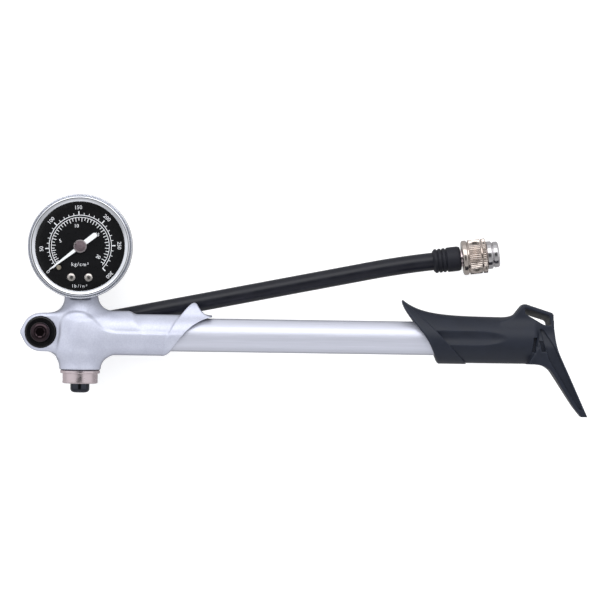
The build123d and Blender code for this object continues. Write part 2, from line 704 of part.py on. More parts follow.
def hose_outer():
    """The half of the hose next to the chuck, with a rounded end at the middle of the bend."""
    straight_end = along(HOSE_STRAIGHT)
    bend_end = chuck_point(-14)
    reach = (bend_end - straight_end).length / 3
    bend = Bezier(straight_end, straight_end + HOSE_DIR * reach, bend_end - CHUCK_DIR * reach, bend_end)
    path = Line(along(FLEX_AT), straight_end) + bend + Line(bend_end, chuck_point(-0.6))
    round_end = flex_cylinder(HOSE_R) & hose_rod(HOSE_R, FLEX_AT - HOSE_R - 1, FLEX_AT + 1)
    bore = tube_along(path, HOSE_BORE_R) + hose_rod(HOSE_BORE_R, FLEX_AT - 8, FLEX_AT + 1)
    return tube_along(path, HOSE_R) + round_end - bore


def hose_boot():
    """A moulded strain relief with three ridges."""
    points = [(HOSE_R + FIT, -14.0), (5.0, -14.0), (5.7, -13.3)]
    for start in (-13.0, -11.2, -9.4):
        points += [(5.75, start + 0.3), (5.75, start + 0.9), (5.25, start + 1.2), (5.25, start + 1.5)]
    points += [(5.95, -7.3), (5.95, -1.6), (5.3, -0.6), (HOSE_R + FIT, -0.6)]
    return turned(points, CHUCK, CHUCK_DIR)


# ---------------------------------------------------------------- chuck

def chuck_core():
    body = chuck_rod(HOSE_BORE_R - FIT, -12, 0) + chuck_rod(4.0, -0.55, 3.4) + chuck_rod(5.4, 3.4, 8.0)
    body -= chuck_rod(1.2, -13, 9)
    return body - chuck_rod(2.5, 7.0, 9)


def chuck_seal():
    return chuck_rod(5.3, 8.0 + FIT, 10.4) - chuck_rod(1.3, 7, 11)


def depressor_pin():
    """The pin that opens the tyre valve, on a cross that lets the air past."""
    pin = chuck_rod(0.8, 7.0 + FIT, 10.3)
    place = Plane(origin=chuck_point(7.0 + FIT), z_dir=CHUCK_DIR)
    cross = Box(4.9, 0.9, 0.9, align=BOTTOM_ALIGN) + Box(0.9, 4.9, 0.9, align=BOTTOM_ALIGN)
    return pin + (place * cross & chuck_rod(2.5 - FIT, 6, 9))


def knurled_bar(radius, depth, start, end):
    """A bar with straight V grooves along its length."""
    points = []
    for i in range(KNURL_TEETH):
        angle = 360 * i / KNURL_TEETH
        points.append(polar(radius, angle))
        points.append(polar(radius - depth, angle + 180 / KNURL_TEETH))
    place = Plane(origin=chuck_point(start), z_dir=CHUCK_DIR)
    bar = extrude(place * outline(*points), end - start)
    ends = turned(
        [(0, start), (radius - depth, start), (radius, start + depth), (radius, end - depth),
         (radius - depth, end), (0, end)], CHUCK, CHUCK_DIR
    )
    return bar & ends


def chuck_nut():
    flange_profile = [(0, 0), (NUT_R - 0.6, 0), (NUT_R, 0.6), (NUT_R, 2.3), (NUT_R - 0.4, 2.7), (0, 2.7)]
    body = turned(flange_profile, CHUCK, CHUCK_DIR) + chuck_rod(7.5, 2, NUT_LENGTH - 1)
    body += knurled_bar(NUT_R - 0.05, 0.4, 3.3, 9.1)
    body += knurled_bar(NUT_R, 0.5, 9.6, NUT_LENGTH)
    body -= chuck_rod(4.0 + RUN, -1, 5)
    return body - chuck_rod(5.6, 3.3, NUT_LENGTH + 1)


def chuck_tip():
    """The threaded mouth that screws on the tyre valve."""
    profile = [
        (0, 10.5), (5.58, 10.5), (5.58, 12.0), (6.5, 12.0), (6.7, 12.2), (6.7, 14.3), (6.4, 14.6),
        (5.9, 14.7), (5.9, 15.1), (6.2, 15.3), (6.25, 17.3), (5.6, TIP_END), (0, TIP_END),
    ]
    entry = turned([(0, 17.5), (VALVE_THREAD_R, 17.5), (4.4, 18.1), (0, 18.1)], CHUCK, CHUCK_DIR)
    return turned(profile, CHUCK, CHUCK_DIR) - chuck_rod(VALVE_THREAD_R, 10, 19) - entry


# ---------------------------------------------------------------- handle

def handle_flare():
    """The slanted front of the shell, drawn out to a point above the barrel."""
    face = outline(
        (154.2, 16.8), (157.6, 14.7), (162.4, 13.1), (172, 11.4), (190, 10.7), (190, -11.5), (184.8, -11.7),
        (173.7, -12.6), (170.9, -11.1), (168.4, -5.5), (161.5, 7.35)
    )
    round_part = rod_x(12.3, 150, 190, 0, -0.3)
    fin = block(150, 190, -3.5, 3.5, 0, 20)
    return plate(face, -13, 13) & (round_part + fin)


def handle_loop():
    """The strap loop on top of the shell's end, open across the handle."""
    face = outline(
        (203, 9), (206.5, 11.5), (208.9, 13.5), (211.2, 16.3), (212.8, 17.1), (225.9, 12.95), (226.2, 5.8),
        (227.3, -0.9), (229, -6.8), (212, -6)
    )
    window = outline((212.8, 15.1), (223.5, 11.7), (225.0, 9.5), (224.6, 7.2), (222.2, 7.4), (212.9, 12.6))
    return plate(face - window, -7, 7)


def handle_tail():
    """The palm plate that slants down behind the shell."""
    face = outline(
        (216, -11.5), (218.3, -11.7), (221.6, -12.3), (223.5, -13.3), (225.6, -15.2), (236, -31.3),
        (240.7, -36.75), (243.05, -36.3), (235.9, -21), (229, -6.8), (227.3, -0.9), (216, -0.9)
    )
    return plate(face, -9, 9)


def handle_shell():
    body = rod_x(HANDLE_R, 172, 222, 0, HANDLE_AXIS_Z) + handle_flare() + handle_loop() + handle_tail()
    body -= rod_x(HANDLE_BORE_R, 140, HANDLE_BORE_END_X)
    return body - rod_x(INSERT_R + FIT, 205, INSERT_END_X)


def handle_insert():
    bush = rod_x(INSERT_R, HANDLE_BORE_END_X + FIT, INSERT_END_X - FIT) - rod_x(ROD_R + FIT, 200, 218.1)
    return bush - rod_y(PIN_R + FIT, -10, 10, PIN_X)


def handle_pin():
    return rod_y(PIN_R, -INSERT_R + 0.2, INSERT_R - 0.2, PIN_X)


# ---------------------------------------------------------------- the pump

NODES = [
    head_body, barrel, barrel_seal, rod_guide, rod_wiper, top_out_bumper, piston, piston_ring, piston_rod,
    piston_clip, check_valve_seat, check_ball, check_spring, bleed_gasket, bleed_collar, bleed_button,
    bleed_stem, bleed_seal, bleed_spring,
    gauge_case, gauge_bezel, gauge_lens, lens_gasket, gauge_socket, gauge_stem_seal, dial_plate,
    zero_stop_pin, dial_screws, bourdon_tube, bourdon_tip, movement_plates, movement_pillars,
    movement_screws, hairspring, sector_gear, sector_arbor, gauge_link, pointer_arbor, pointer,
    swivel_bolt, swivel_washer, swivel_seals, swivel_nut,
    banjo_fitting, hose_ferrule, hose_inner, hose_outer, hose_boot,
    chuck_core, chuck_seal, depressor_pin, chuck_nut, chuck_tip, handle_shell, handle_insert, handle_pin,
]

os.makedirs("parts", exist_ok=True)
for make in NODES:
    made = make()
    solids = made if isinstance(made, list) else made.solids()
    shape = solids[0] if len(solids) == 1 else Compound(children=[s.solid() for s in solids])
    export_step(shape, f"parts/{make.__name__}.step")
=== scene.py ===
import json
from math import cos, pi, radians, sin

import bmesh
import bpy
import numpy as np
from mathutils import Matrix, Vector


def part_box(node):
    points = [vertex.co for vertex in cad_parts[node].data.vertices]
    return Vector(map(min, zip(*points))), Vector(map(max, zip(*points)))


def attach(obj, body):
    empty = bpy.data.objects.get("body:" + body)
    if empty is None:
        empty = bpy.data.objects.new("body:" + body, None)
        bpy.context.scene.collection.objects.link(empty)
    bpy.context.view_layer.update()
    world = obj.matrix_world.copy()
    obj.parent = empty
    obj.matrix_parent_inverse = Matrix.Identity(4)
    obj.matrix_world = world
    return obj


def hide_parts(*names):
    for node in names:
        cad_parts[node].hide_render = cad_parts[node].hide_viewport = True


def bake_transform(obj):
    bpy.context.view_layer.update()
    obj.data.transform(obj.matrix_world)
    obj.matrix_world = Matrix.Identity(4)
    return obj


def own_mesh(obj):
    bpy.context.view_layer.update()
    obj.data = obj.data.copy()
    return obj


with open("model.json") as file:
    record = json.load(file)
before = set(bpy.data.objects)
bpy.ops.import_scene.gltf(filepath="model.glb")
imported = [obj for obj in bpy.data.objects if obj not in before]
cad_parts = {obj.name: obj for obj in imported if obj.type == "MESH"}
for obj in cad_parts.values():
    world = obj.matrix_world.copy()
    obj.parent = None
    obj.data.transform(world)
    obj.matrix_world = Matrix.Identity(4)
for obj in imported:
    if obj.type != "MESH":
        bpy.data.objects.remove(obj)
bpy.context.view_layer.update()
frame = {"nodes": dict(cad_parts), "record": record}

MM = 0.001              # this script works in millimetres; Blender's objects are in metres
NODES = frame["nodes"]
JOINTS = {joint["name"]: joint for joint in frame["record"]["behaviour"]["joints"]}


# ======== places, from the frame

def corners(node):
    low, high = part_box(node)
    return np.array(low) / MM, np.array(high) / MM


def middle(node):
    low, high = corners(node)
    return (low + high) / 2


def joint_place(name):
    return np.array(JOINTS[name]["pos_m"]) / MM


BARREL_R = corners("barrel")[1][2]
GAUGE = middle("gauge_bezel") * (1, 0, 1)
DIAL_Y = corners("dial_plate")[0][1]
EAR = middle("swivel_washer") * (1, 0, 1)
SWIVEL = joint_place("hose_swivel")
FLEX = joint_place("hose_flex")
HOSE_DIR = (FLEX - SWIVEL) / np.linalg.norm(FLEX - SWIVEL)
CHUCK_DIR = np.array(JOINTS["thumb_nut_spin"]["axis"])
CHUCK_SHIFT = 0.8    # how much further along the hose the boot, nut and tip sit than in the CAD
CHUCK = joint_place("thumb_nut_spin") + CHUCK_SHIFT * CHUCK_DIR
NECK_TOP = corners("gauge_stem_seal")[0][2]
COLUMN_BOTTOM = corners("bleed_gasket")[1][2]
HEAD_BACK = corners("head_body")[1][1]
FORWARD = np.array((0, -1, 0))
UP = np.array((0, 0, 1))
RIGHT = np.array((1, 0, 0))


# ======== mesh helpers

def add_to_scene(name, data):
    obj = bpy.data.objects.new(name, data)
    bpy.context.scene.collection.objects.link(obj)
    return obj


def add_object(name, verts, faces, sharp_deg=35):
    """A mesh object from millimetre points, smooth except along edges sharper than an angle."""
    mesh = bpy.data.meshes.new(name)
    mesh.from_pydata((np.asarray(verts) * MM).tolist(), [], [list(map(int, f)) for f in faces])
    mesh.validate()
    mesh.shade_smooth()
    mesh.set_sharp_from_angle(angle=radians(sharp_deg))
    return add_to_scene(name, mesh)


def paint(obj, material):
    obj.data.materials.clear()
    obj.data.materials.append(material)


def finish_piece(obj, body, slot, material, *replaced):
    """Gives a piece its material and the body it rides on, and hides the CAD nodes it stands in for; the slot
    is not used.
    """
    paint(obj, material)
    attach(obj, body)
    if replaced:
        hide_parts(*replaced)


def axes_for(direction):
    """Two unit vectors across a direction, the first as near to +X or +Z as it gets."""
    direction = np.asarray(direction, float)
    first = UP if abs(direction @ UP) < 0.9 else RIGHT
    side = first - direction * (first @ direction)
    side /= np.linalg.norm(side)
    return side, np.cross(direction, side)


def bridged(rings):
    """Faces between each ring of point numbers and the next; a ring may be one point over and over."""
    faces = []
    for low, high in zip(rings, rings[1:]):
        for i in range(len(low)):
            j = (i + 1) % len(low)
            loop = [low[i], low[j], high[j], high[i]]
            face = [v for k, v in enumerate(loop) if v != loop[k - 1]]
            if len(face) > 2:
                faces.append(face)
    return faces


def lathe(profile, origin, direction, segments=96, shape=None):
    """Points and faces of a turned part. The profile holds (radius, distance along the axis), from one
    end of the axis to the other or round in a ring; shape(radius, distance, angle) may change the radius."""
    side, across = axes_for(direction)
    angles = np.arange(segments) * 2 * pi / segments
    rows, verts = [], []
    for radius, along in profile:
        centre = origin + direction * float(along)
        if radius < 1e-6:
            rows.append([len(verts)] * segments)
            verts.append(centre)
            continue
        rows.append(list(range(len(verts), len(verts) + segments)))
        for angle in angles:
            r = shape(radius, along, angle) if shape else radius
            verts.append(centre + r * (side * cos(angle) + across * sin(angle)))
    return verts, bridged(rows)


def ring_profile(profile):
    return list(profile) + [profile[0]]


def turned(name, profile, origin, direction, segments=96, shape=None, sharp_deg=30):
    verts, faces = lathe(profile, origin, direction, segments, shape)
    return clean(add_object(name, verts, faces, sharp_deg), sharp_deg)


def clean(obj, sharp_deg=30):
    """Merges doubled points and turns all faces outwards."""
    work = bmesh.new()
    work.from_mesh(obj.data)
    bmesh.ops.remove_doubles(work, verts=work.verts, dist=1e-6)
    bmesh.ops.recalc_face_normals(work, faces=work.faces)
    work.to_mesh(obj.data)
    work.free()
    obj.data.shade_smooth()
    obj.data.set_sharp_from_angle(angle=radians(sharp_deg))
    return obj


def rounded(points, radius, closed=False, steps=4):
    """A polyline whose corners are rounded by arcs of about one radius."""
    points = [np.asarray(p, float) for p in points]
    result = []
    count = len(points)
    for i, corner in enumerate(points):
        if not closed and i in (0, count - 1):
            result.append(tuple(corner))
            continue
        before, after = points[i - 1] - corner, points[(i + 1) % count] - corner
        reach = min(radius, 0.45 * np.linalg.norm(before), 0.45 * np.linalg.norm(after))
        start = corner + before / np.linalg.norm(before) * reach
        end = corner + after / np.linalg.norm(after) * reach
        for k in range(steps + 1):
            t = k / steps
            result.append(tuple((1 - t) ** 2 * start + 2 * t * (1 - t) * corner + t ** 2 * end))
    return result


def curve(*points, per=6):
    """Points of a smooth curve through the given points."""
    pts = [np.asarray(p, float) for p in points]
    pts = [2 * pts[0] - pts[1]] + pts + [2 * pts[-1] - pts[-2]]
    result = []
    for a, b, c, d in zip(pts, pts[1:], pts[2:], pts[3:]):
        for k in range(per):
            t = k / per
            result.append(tuple(0.5 * (2 * b + (c - a) * t + (2 * a - 5 * b + 4 * c - d) * t ** 2
                                       + (3 * b - a - 3 * c + d) * t ** 3)))
    return result + [tuple(pts[-2])]


# ======== solids from distance fields

def length(*parts):
    return np.sqrt(sum(part * part for part in parts))


def join(a, b, radius):
    """Union of two fields with a round fillet."""
    corner = length(np.maximum(radius - a, 0), np.maximum(radius - b, 0))
    return np.maximum(radius, np.minimum(a, b)) - corner


def common(a, b, radius):
    """Intersection of two fields with a round edge."""
    corner = length(np.maximum(radius + a, 0), np.maximum(radius + b, 0))
    return np.minimum(-radius, np.maximum(a, b)) + corner


def outline_field(points, u, v):
    """Signed distance from (u, v) to a closed outline."""
    nearest, inside = np.inf, False
    for (ax, ay), (bx, by) in zip(points, points[1:] + points[:1]):
        ex, ey = bx - ax, by - ay
        wx, wy = u - ax, v - ay
        t = np.clip((wx * ex + wy * ey) / (ex * ex + ey * ey), 0, 1)
        nearest = np.minimum(nearest, (wx - ex * t) ** 2 + (wy - ey * t) ** 2)
        crosses = ((ay > v) != (by > v)) & ((ex * wy - ey * wx > 0) == (by > ay))
        inside = inside ^ crosses
    return np.where(inside, -1, 1) * np.sqrt(nearest)


def smooth_step(start, end, value):
    t = np.clip((value - start) / (end - start), 0, 1)
    return t * t * (3 - 2 * t)


BISECTIONS = 8        # halvings that place a crossing on its grid edge
SLOPE_STEP = 0.02     # how far to each side a field's slope is measured
CENTRE_PULL = 0.08    # how strongly a cell's point is drawn to the middle of its crossings


def crossings(field, inside, low, step, axis):
    """The grid edges along an axis that the surface cuts: their indices, where they are cut, the surface's
    direction there, and whether each edge starts inside."""
    b, c = (axis + 1) % 3, (axis + 2) % 3
    lower = [slice(None)] * 3
    upper = [slice(None)] * 3
    lower[axis], upper[axis] = slice(0, -1), slice(1, None)
    index = np.argwhere(inside[tuple(lower)] != inside[tuple(upper)])
    index = index[(index[:, b] > 0) & (index[:, c] > 0)]
    start = low + index * step
    end = start.copy()
    end[:, axis] += step
    starts_inside = inside[tuple(index.T)]
    for _ in range(BISECTIONS):
        half = (start + end) / 2
        same = (field(*half.T) < 0) == starts_inside
        start = np.where(same[:, None], half, start)
        end = np.where(same[:, None], end, half)
    place = (start + end) / 2
    slope = np.empty_like(place)
    for k in range(3):
        shift = np.zeros(3)
        shift[k] = SLOPE_STEP
        slope[:, k] = field(*(place + shift).T) - field(*(place - shift).T)
    slope /= np.linalg.norm(slope, axis=1, keepdims=True) + 1e-12
    return index, place, slope, starts_inside


def cells_around(index, axis, counts):
    """The numbers of the four cells round each edge, in order."""
    b, c = (axis + 1) % 3, (axis + 2) % 3
    around = []
    for db, dc in ((1, 1), (0, 1), (0, 0), (1, 0)):
        cell = index.copy()
        cell[:, b] -= db
        cell[:, c] -= dc
        around.append((cell[:, 0] * counts[1] + cell[:, 1]) * counts[2] + cell[:, 2])
    return np.stack(around, 1)


def best_offsets(centre, vertex, places, normals):
    """For each cell, the way from its centre to the point that fits its crossings' tangent planes best."""
    total = len(centre)
    many = np.zeros(total)
    mean = np.zeros((total, 3))
    planes = np.zeros((total, 3, 3))
    depths = np.zeros((total, 3))
    for k in range(4):
        ids = vertex[:, k]
        rel = places - centre[ids]
        depth = np.einsum("ij,ij->i", normals, rel)
        many += np.bincount(ids, minlength=total)
        for i in range(3):
            mean[:, i] += np.bincount(ids, rel[:, i], total)
            depths[:, i] += np.bincount(ids, normals[:, i] * depth, total)
            for j in range(3):
                planes[:, i, j] += np.bincount(ids, normals[:, i] * normals[:, j], total)
    mean /= many[:, None]
    planes += np.eye(3) * CENTRE_PULL
    return np.linalg.solve(planes, (depths + CENTRE_PULL * mean)[:, :, None])[:, :, 0]


def solid(name, field, low, high, step, sharp_deg=30):
    """A mesh of the surface where field(x, y, z) is zero, by dual contouring, which keeps creases crisp."""
    counts = np.ceil((high - low) / step).astype(int) + 1
    lines = [low[a] + step * np.arange(counts[a]) for a in range(3)]
    grid = field(lines[0][:, None, None], lines[1][None, :, None], lines[2][None, None, :])
    inside = np.broadcast_to(grid, counts) < 0
    places, normals, cells, flips = [], [], [], []
    for axis in range(3):
        index, place, slope, starts_inside = crossings(field, inside, low, step, axis)
        places.append(place)
        normals.append(slope)
        cells.append(cells_around(index, axis, counts))
        flips.append(~starts_inside)
    cells, flips = np.concatenate(cells), np.concatenate(flips)
    used, vertex = np.unique(cells, return_inverse=True)
    vertex = vertex.reshape(cells.shape)
    corner = np.stack([used // (counts[1] * counts[2]), used // counts[2] % counts[1], used % counts[2]], 1)
    centre = low + (corner + 0.5) * step
    offset = best_offsets(centre, vertex, np.concatenate(places), np.concatenate(normals))
    offset = np.clip(offset, -0.5 * step, 0.5 * step)
    faces = np.where(flips[:, None], vertex[:, ::-1], vertex)
    return add_object(name, centre + offset, faces, sharp_deg)


def bar_x(y, z, radius):
    return length(y, z) - radius


# ======== material helpers

class Nodes:
    """A short way to write a node tree: a new material's, or that of the world it is given."""

    def __init__(self, name, world=None):
        self.owner = world or bpy.data.materials.new(name)
        self.owner.use_nodes = True
        self.tree = self.owner.node_tree
        self.tree.nodes.clear()
        self.output = self.tree.nodes.new("ShaderNodeOutput" + ("World" if world else "Material"))

    def add(self, kind, inputs=None, **settings):
        node = self.tree.nodes.new("ShaderNode" + kind)
        for key, value in settings.items():
            setattr(node, key, value)
        for key, value in (inputs or {}).items():
            if isinstance(value, bpy.types.NodeSocket):
                self.tree.links.new(value, node.inputs[key])
            else:
                node.inputs[key].default_value = value
        return node

    def noise(self, scale, detail=3.0, roughness=0.55, vector=None):
        inputs = {"Scale": scale, "Detail": detail, "Roughness": roughness}
        inputs["Vector"] = vector if vector is not None else self.place()
        return self.add("TexNoise", inputs).outputs["Fac"]

    def place(self):
        return self.add("TexCoord").outputs["Object"]

    def stretched(self, scale):
        return self.add("Mapping", {"Vector": self.place(), "Scale": scale}).outputs["Vector"]

    def mix(self, factor, a, b):
        """A colour between a and b; 6 and 7 are the node's colour inputs."""
        return self.add("Mix", {0: factor, 6: a, 7: b}, data_type="RGBA").outputs[2]

    def span(self, value, low, high, out_low, out_high):
        inputs = {"Value": value, "From Min": low, "From Max": high, "To Min": out_low, "To Max": out_high}
        return self.add("MapRange", inputs).outputs["Result"]

    def bump(self, height, distance, strength=1.0, normal=None):
        inputs = {"Height": height, "Distance": distance, "Strength": strength}
        if normal is not None:
            inputs["Normal"] = normal
        return self.add("Bump", inputs).outputs["Normal"]

    def darker_rim(self, colour, amount):
        """Painted shade: the colour, darkened where the surface turns away from the viewer."""
        facing = self.add("LayerWeight", {"Blend": 0.5}).outputs["Facing"]
        dark = self.add("HueSaturation", {"Color": colour, "Value": 1.0 - amount}).outputs["Color"]
        return self.mix(self.span(facing, 0.55, 0.95, 0.0, 1.0), colour, dark)

    def edges(self, size):
        """1 on convex edges and 0 on flat ground."""
        return self.span(self.add("NewGeometry").outputs["Pointiness"], 0.5, 0.5 + size, 0.0, 1.0)

    def mix_shaders(self, share, first, second):
        return self.add("MixShader", {0: share, 1: first.outputs[0], 2: second.outputs[0]})

    def surface(self, shader):
        """Ends the tree with a shader."""
        self.tree.links.new(shader.outputs[0], self.output.inputs["Surface"])
        return self.owner

    def finish(self, **inputs):
        """Ends the tree with a principled shader; an underscore in an input's name stands for a space."""
        named = {key.replace("_", " "): value for key, value in inputs.items()}
        return self.surface(self.add("BsdfPrincipled", named))


def rgb(red, green, blue):
    """An sRGB colour, 0 to 255, as the linear colour that the nodes use."""
    def linear(value):
        value /= 255
        return value / 12.92 if value <= 0.04045 else ((value + 0.055) / 1.055) ** 2.4
    return (linear(red), linear(green), linear(blue), 1.0)


def scaled(colour, share):
    """The colour, brighter or darker by a share."""
    return tuple(share * c for c in colour[:3]) + (1.0,)


# ======== materials

def satin_silver(name, colour, shade, roughness, grain_mm):
    """Silver lacquer on cast metal: fine sparkle, slightly uneven, with painted shade at the rim and in
    nooks.
    """
    n = Nodes(name)
    grain = n.noise(1000 / grain_mm, 2.0)
    cloud = n.noise(90.0, 3.0)
    flake = n.noise(1400.0, 1.0)
    mottle = n.add("Math", {0: n.span(cloud, 0.35, 0.65, 0.0, 0.5), 1: n.span(flake, 0.3, 0.7, 0.0, 0.5)})
    # Painted shade: darker where the surface turns from the viewer, and darker in nooks and creases, where
    # the ambient occlusion finds other surfaces near.
    colour = n.darker_rim(n.mix(mottle.outputs[0], shade, colour), 0.6)
    nook_occlusion = n.add("AmbientOcclusion", {"Distance": 0.012}, samples=8).outputs["AO"]
    shaded_in_nooks = n.add("HueSaturation", {"Color": colour, "Value": 0.35}).outputs["Color"]
    colour = n.mix(n.span(nook_occlusion, 0.35, 0.9, 0.0, 1.0), shaded_in_nooks, colour)
    normal = n.bump(grain, 0.00002, 0.25)
    rough = n.span(grain, 0.3, 0.7, roughness - 0.05, roughness + 0.07)
    return n.finish(Base_Color=colour, Metallic=0.5, Roughness=rough, Normal=normal)


def drawn_tube(name, colour, roughness):
    """Satin anodised tube with faint lines along its length and painted shade at its rim."""
    n = Nodes(name)
    lines = n.noise(1.0, 4.0, 0.6, n.stretched((40.0, 4200.0, 4200.0)))
    grain = n.noise(5200.0, 1.0)
    streaked = n.mix(n.span(lines, 0.35, 0.65, 0.0, 1.0), scaled(colour, 0.9), colour)
    # Painted shade: darker where the tube turns away from the viewer.
    colour = n.darker_rim(streaked, 0.65)
    normal = n.bump(lines, 0.00001, 0.25, n.bump(grain, 0.00001, 0.15))
    rough = n.span(lines, 0.3, 0.7, roughness - 0.04, roughness + 0.06)
    return n.finish(Base_Color=colour, Metallic=0.5, Roughness=rough, Normal=normal)


def polished(name, colour, roughness=0.07, metallic=1.0):
    """Plated or polished metal with a trace of handling marks."""
    n = Nodes(name)
    smear = n.noise(160.0, 4.0, 0.7)
    fine = n.noise(3000.0, 2.0)
    rough = n.span(smear, 0.35, 0.75, roughness * 0.7, roughness * 1.6)
    tone = n.mix(n.span(smear, 0.3, 0.7, 0.0, 1.0), scaled(colour, 0.88), colour)
    return n.finish(Base_Color=tone, Metallic=metallic, Roughness=rough,
                    Normal=n.bump(fine, 0.000004, 0.2))


def moulded(name, colour, light, roughness, grain_mm, depth_mm=0.01, lighter_edges=0.0):
    """Moulded plastic or rubber with a fine grain, uneven gloss and, if asked, lighter convex edges."""
    n = Nodes(name)
    grain = n.noise(1000 / grain_mm, 2.0)
    cloud = n.noise(140.0, 4.0, 0.6)
    tone = n.mix(n.span(cloud, 0.3, 0.7, 0.0, 1.0), colour, light)
    # Lighter towards convex edges, by the given share of a brightened colour.
    if lighter_edges:
        tone = n.mix(n.span(n.edges(0.06), 0.0, 1.0, 0.0, lighter_edges), tone, scaled(light, 2.2))
    rough = n.span(cloud, 0.3, 0.7, roughness - 0.05, roughness + 0.06)
    return n.finish(Base_Color=tone, Roughness=rough, Specular_IOR_Level=0.35,
                    Normal=n.bump(grain, depth_mm * MM, 0.35))


def enamel(name, colour, roughness):
    """Flat paint with hardly any sheen."""
    n = Nodes(name)
    cloud = n.noise(900.0, 3.0)
    tone = n.mix(n.span(cloud, 0.3, 0.7, 0.0, 1.0), scaled(colour, 0.92), colour)
    rough = n.span(cloud, 0.3, 0.7, roughness - 0.05, roughness + 0.05)
    return n.finish(Base_Color=tone, Roughness=rough, Specular_IOR_Level=0.15,
                    Normal=n.bump(cloud, 0.000002, 0.05))


def clear_lens():
    """A thin clear lens: mostly see-through, with a faint reflection."""
    n = Nodes("lens clear")
    fine = n.noise(60.0, 2.0)
    gloss = n.add("BsdfGlossy", {"Roughness": n.span(fine, 0.3, 0.7, 0.01, 0.03), "Color": (1, 1, 1, 1)})
    clear = n.add("BsdfTransparent", {"Color": (0.97, 0.975, 0.98, 1)})
    facing = n.add("LayerWeight", {"Blend": 0.5}).outputs["Facing"]
    steep = n.add("Math", {0: facing, 1: 4.0}, operation="POWER").outputs[0]
    share = n.span(steep, 0.0, 1.0, 0.03, 0.6)
    return n.surface(n.mix_shaders(share, clear, gloss))


HEAD_SILVER = satin_silver("head silver", rgb(210, 213, 228), rgb(192, 195, 212), 0.46, 0.25)
BARREL_SILVER = drawn_tube("barrel silver", rgb(212, 214, 227), 0.38)
CHROME = polished("bezel chrome", rgb(240, 242, 248), 0.06)
NICKEL = polished("warm nickel", rgb(222, 207, 211), 0.3)
KNURL_NICKEL = polished("knurl nickel", rgb(208, 197, 190), 0.18)
TIP_NICKEL = polished("tip nickel", rgb(206, 203, 205), 0.14)
STEEL = polished("bright steel", rgb(190, 192, 198), 0.22)
BRASS = polished("turned brass", rgb(205, 170, 105), 0.20)
ROD_CHROME = polished("rod chrome", rgb(205, 207, 214), 0.08)
BOLT_BLACK = polished("bolt black", rgb(60, 50, 54), 0.08)
WASHER_BLACK = moulded("washer black", rgb(3, 3, 5), rgb(6, 6, 8), 0.24, 0.2)
HANDLE_PLASTIC = moulded("handle plastic", rgb(21, 26, 38), rgb(27, 32, 45), 0.48, 0.22, 0.012, 0.2)
HOSE_RUBBER = moulded("hose rubber", rgb(17, 18, 27), rgb(23, 24, 34), 0.33, 0.30)
BOOT_RUBBER = moulded("boot rubber", rgb(17, 18, 27), rgb(23, 24, 34), 0.54, 0.25)
SEAL_BLACK = moulded("seal black", rgb(40, 36, 38), rgb(52, 48, 50), 0.5, 0.2)
SEAL_RUBBER = moulded("seal rubber", rgb(24, 24, 26), rgb(34, 34, 37), 0.55, 0.2)
SEAL_WHITE = moulded("seal white", rgb(222, 222, 218), rgb(235, 235, 230), 0.5, 0.3)
GUIDE_PLASTIC = moulded("guide plastic", rgb(70, 70, 74), rgb(84, 84, 88), 0.45, 0.3)
BUTTON_BLACK = polished("button black", rgb(62, 64, 72), 0.12)
DIAL_BLACK = enamel("dial black", rgb(3, 3, 6), 0.8)
DIAL_WHITE = enamel("dial white", rgb(252, 252, 254), 0.5)
POINTER_WHITE = enamel("pointer white", rgb(254, 254, 254), 0.35)
HUB_COPPER = polished("hub copper", rgb(138, 122, 126), 0.34, 0.8)
SCREW_STEEL = polished("screw steel", rgb(205, 198, 192), 0.12)
HUB_RIM = polished("hub rim", rgb(196, 186, 186), 0.25)
PIN_BEIGE = polished("pin beige", rgb(176, 164, 144), 0.35, 0.7)
LENS_CLEAR = clear_lens()

SLOT_MATERIALS = {
    "head_silver": HEAD_SILVER, "barrel_silver": BARREL_SILVER, "chrome": CHROME, "nickel": NICKEL,
    "chuck_nickel": KNURL_NICKEL, "steel": STEEL, "brass": BRASS, "rod_steel": ROD_CHROME,
    "bolt_black": BOLT_BLACK, "washer_black": WASHER_BLACK, "handle_plastic": HANDLE_PLASTIC,
    "hose_rubber": HOSE_RUBBER, "boot_rubber": BOOT_RUBBER, "seal_black": SEAL_BLACK, "rubber": SEAL_RUBBER,
    "seal_white": SEAL_WHITE, "guide_plastic": GUIDE_PLASTIC, "button_black": BUTTON_BLACK,
    "dial_black": DIAL_BLACK, "pointer_white": POINTER_WHITE, "pin_beige": PIN_BEIGE,
    "ferrule_steel": STEEL, "lens_glass": LENS_CLEAR,
}


def dress_cad_nodes():
    """Gives every CAD node the procedural material of its slot."""
    slots = {part["node"]: part["material_slot"] for part in frame["record"]["subparts"]}
    for name, obj in NODES.items():
        paint(obj, SLOT_MATERIALS[slots[name]])


# ======== head

def softened(field, reach):
    """The same field with its creases softened: the mean of samples around each point."""
    steps = [(0, 0, 0)] + [(i, j, k) for i in (-1, 1) for j in (-1, 1) for k in (-1, 1)]

    def mean(x, y, z):
        return sum(field(x + reach * i, y + reach * j, z + reach * k) for i, j, k in steps) / len(steps)
    return mean


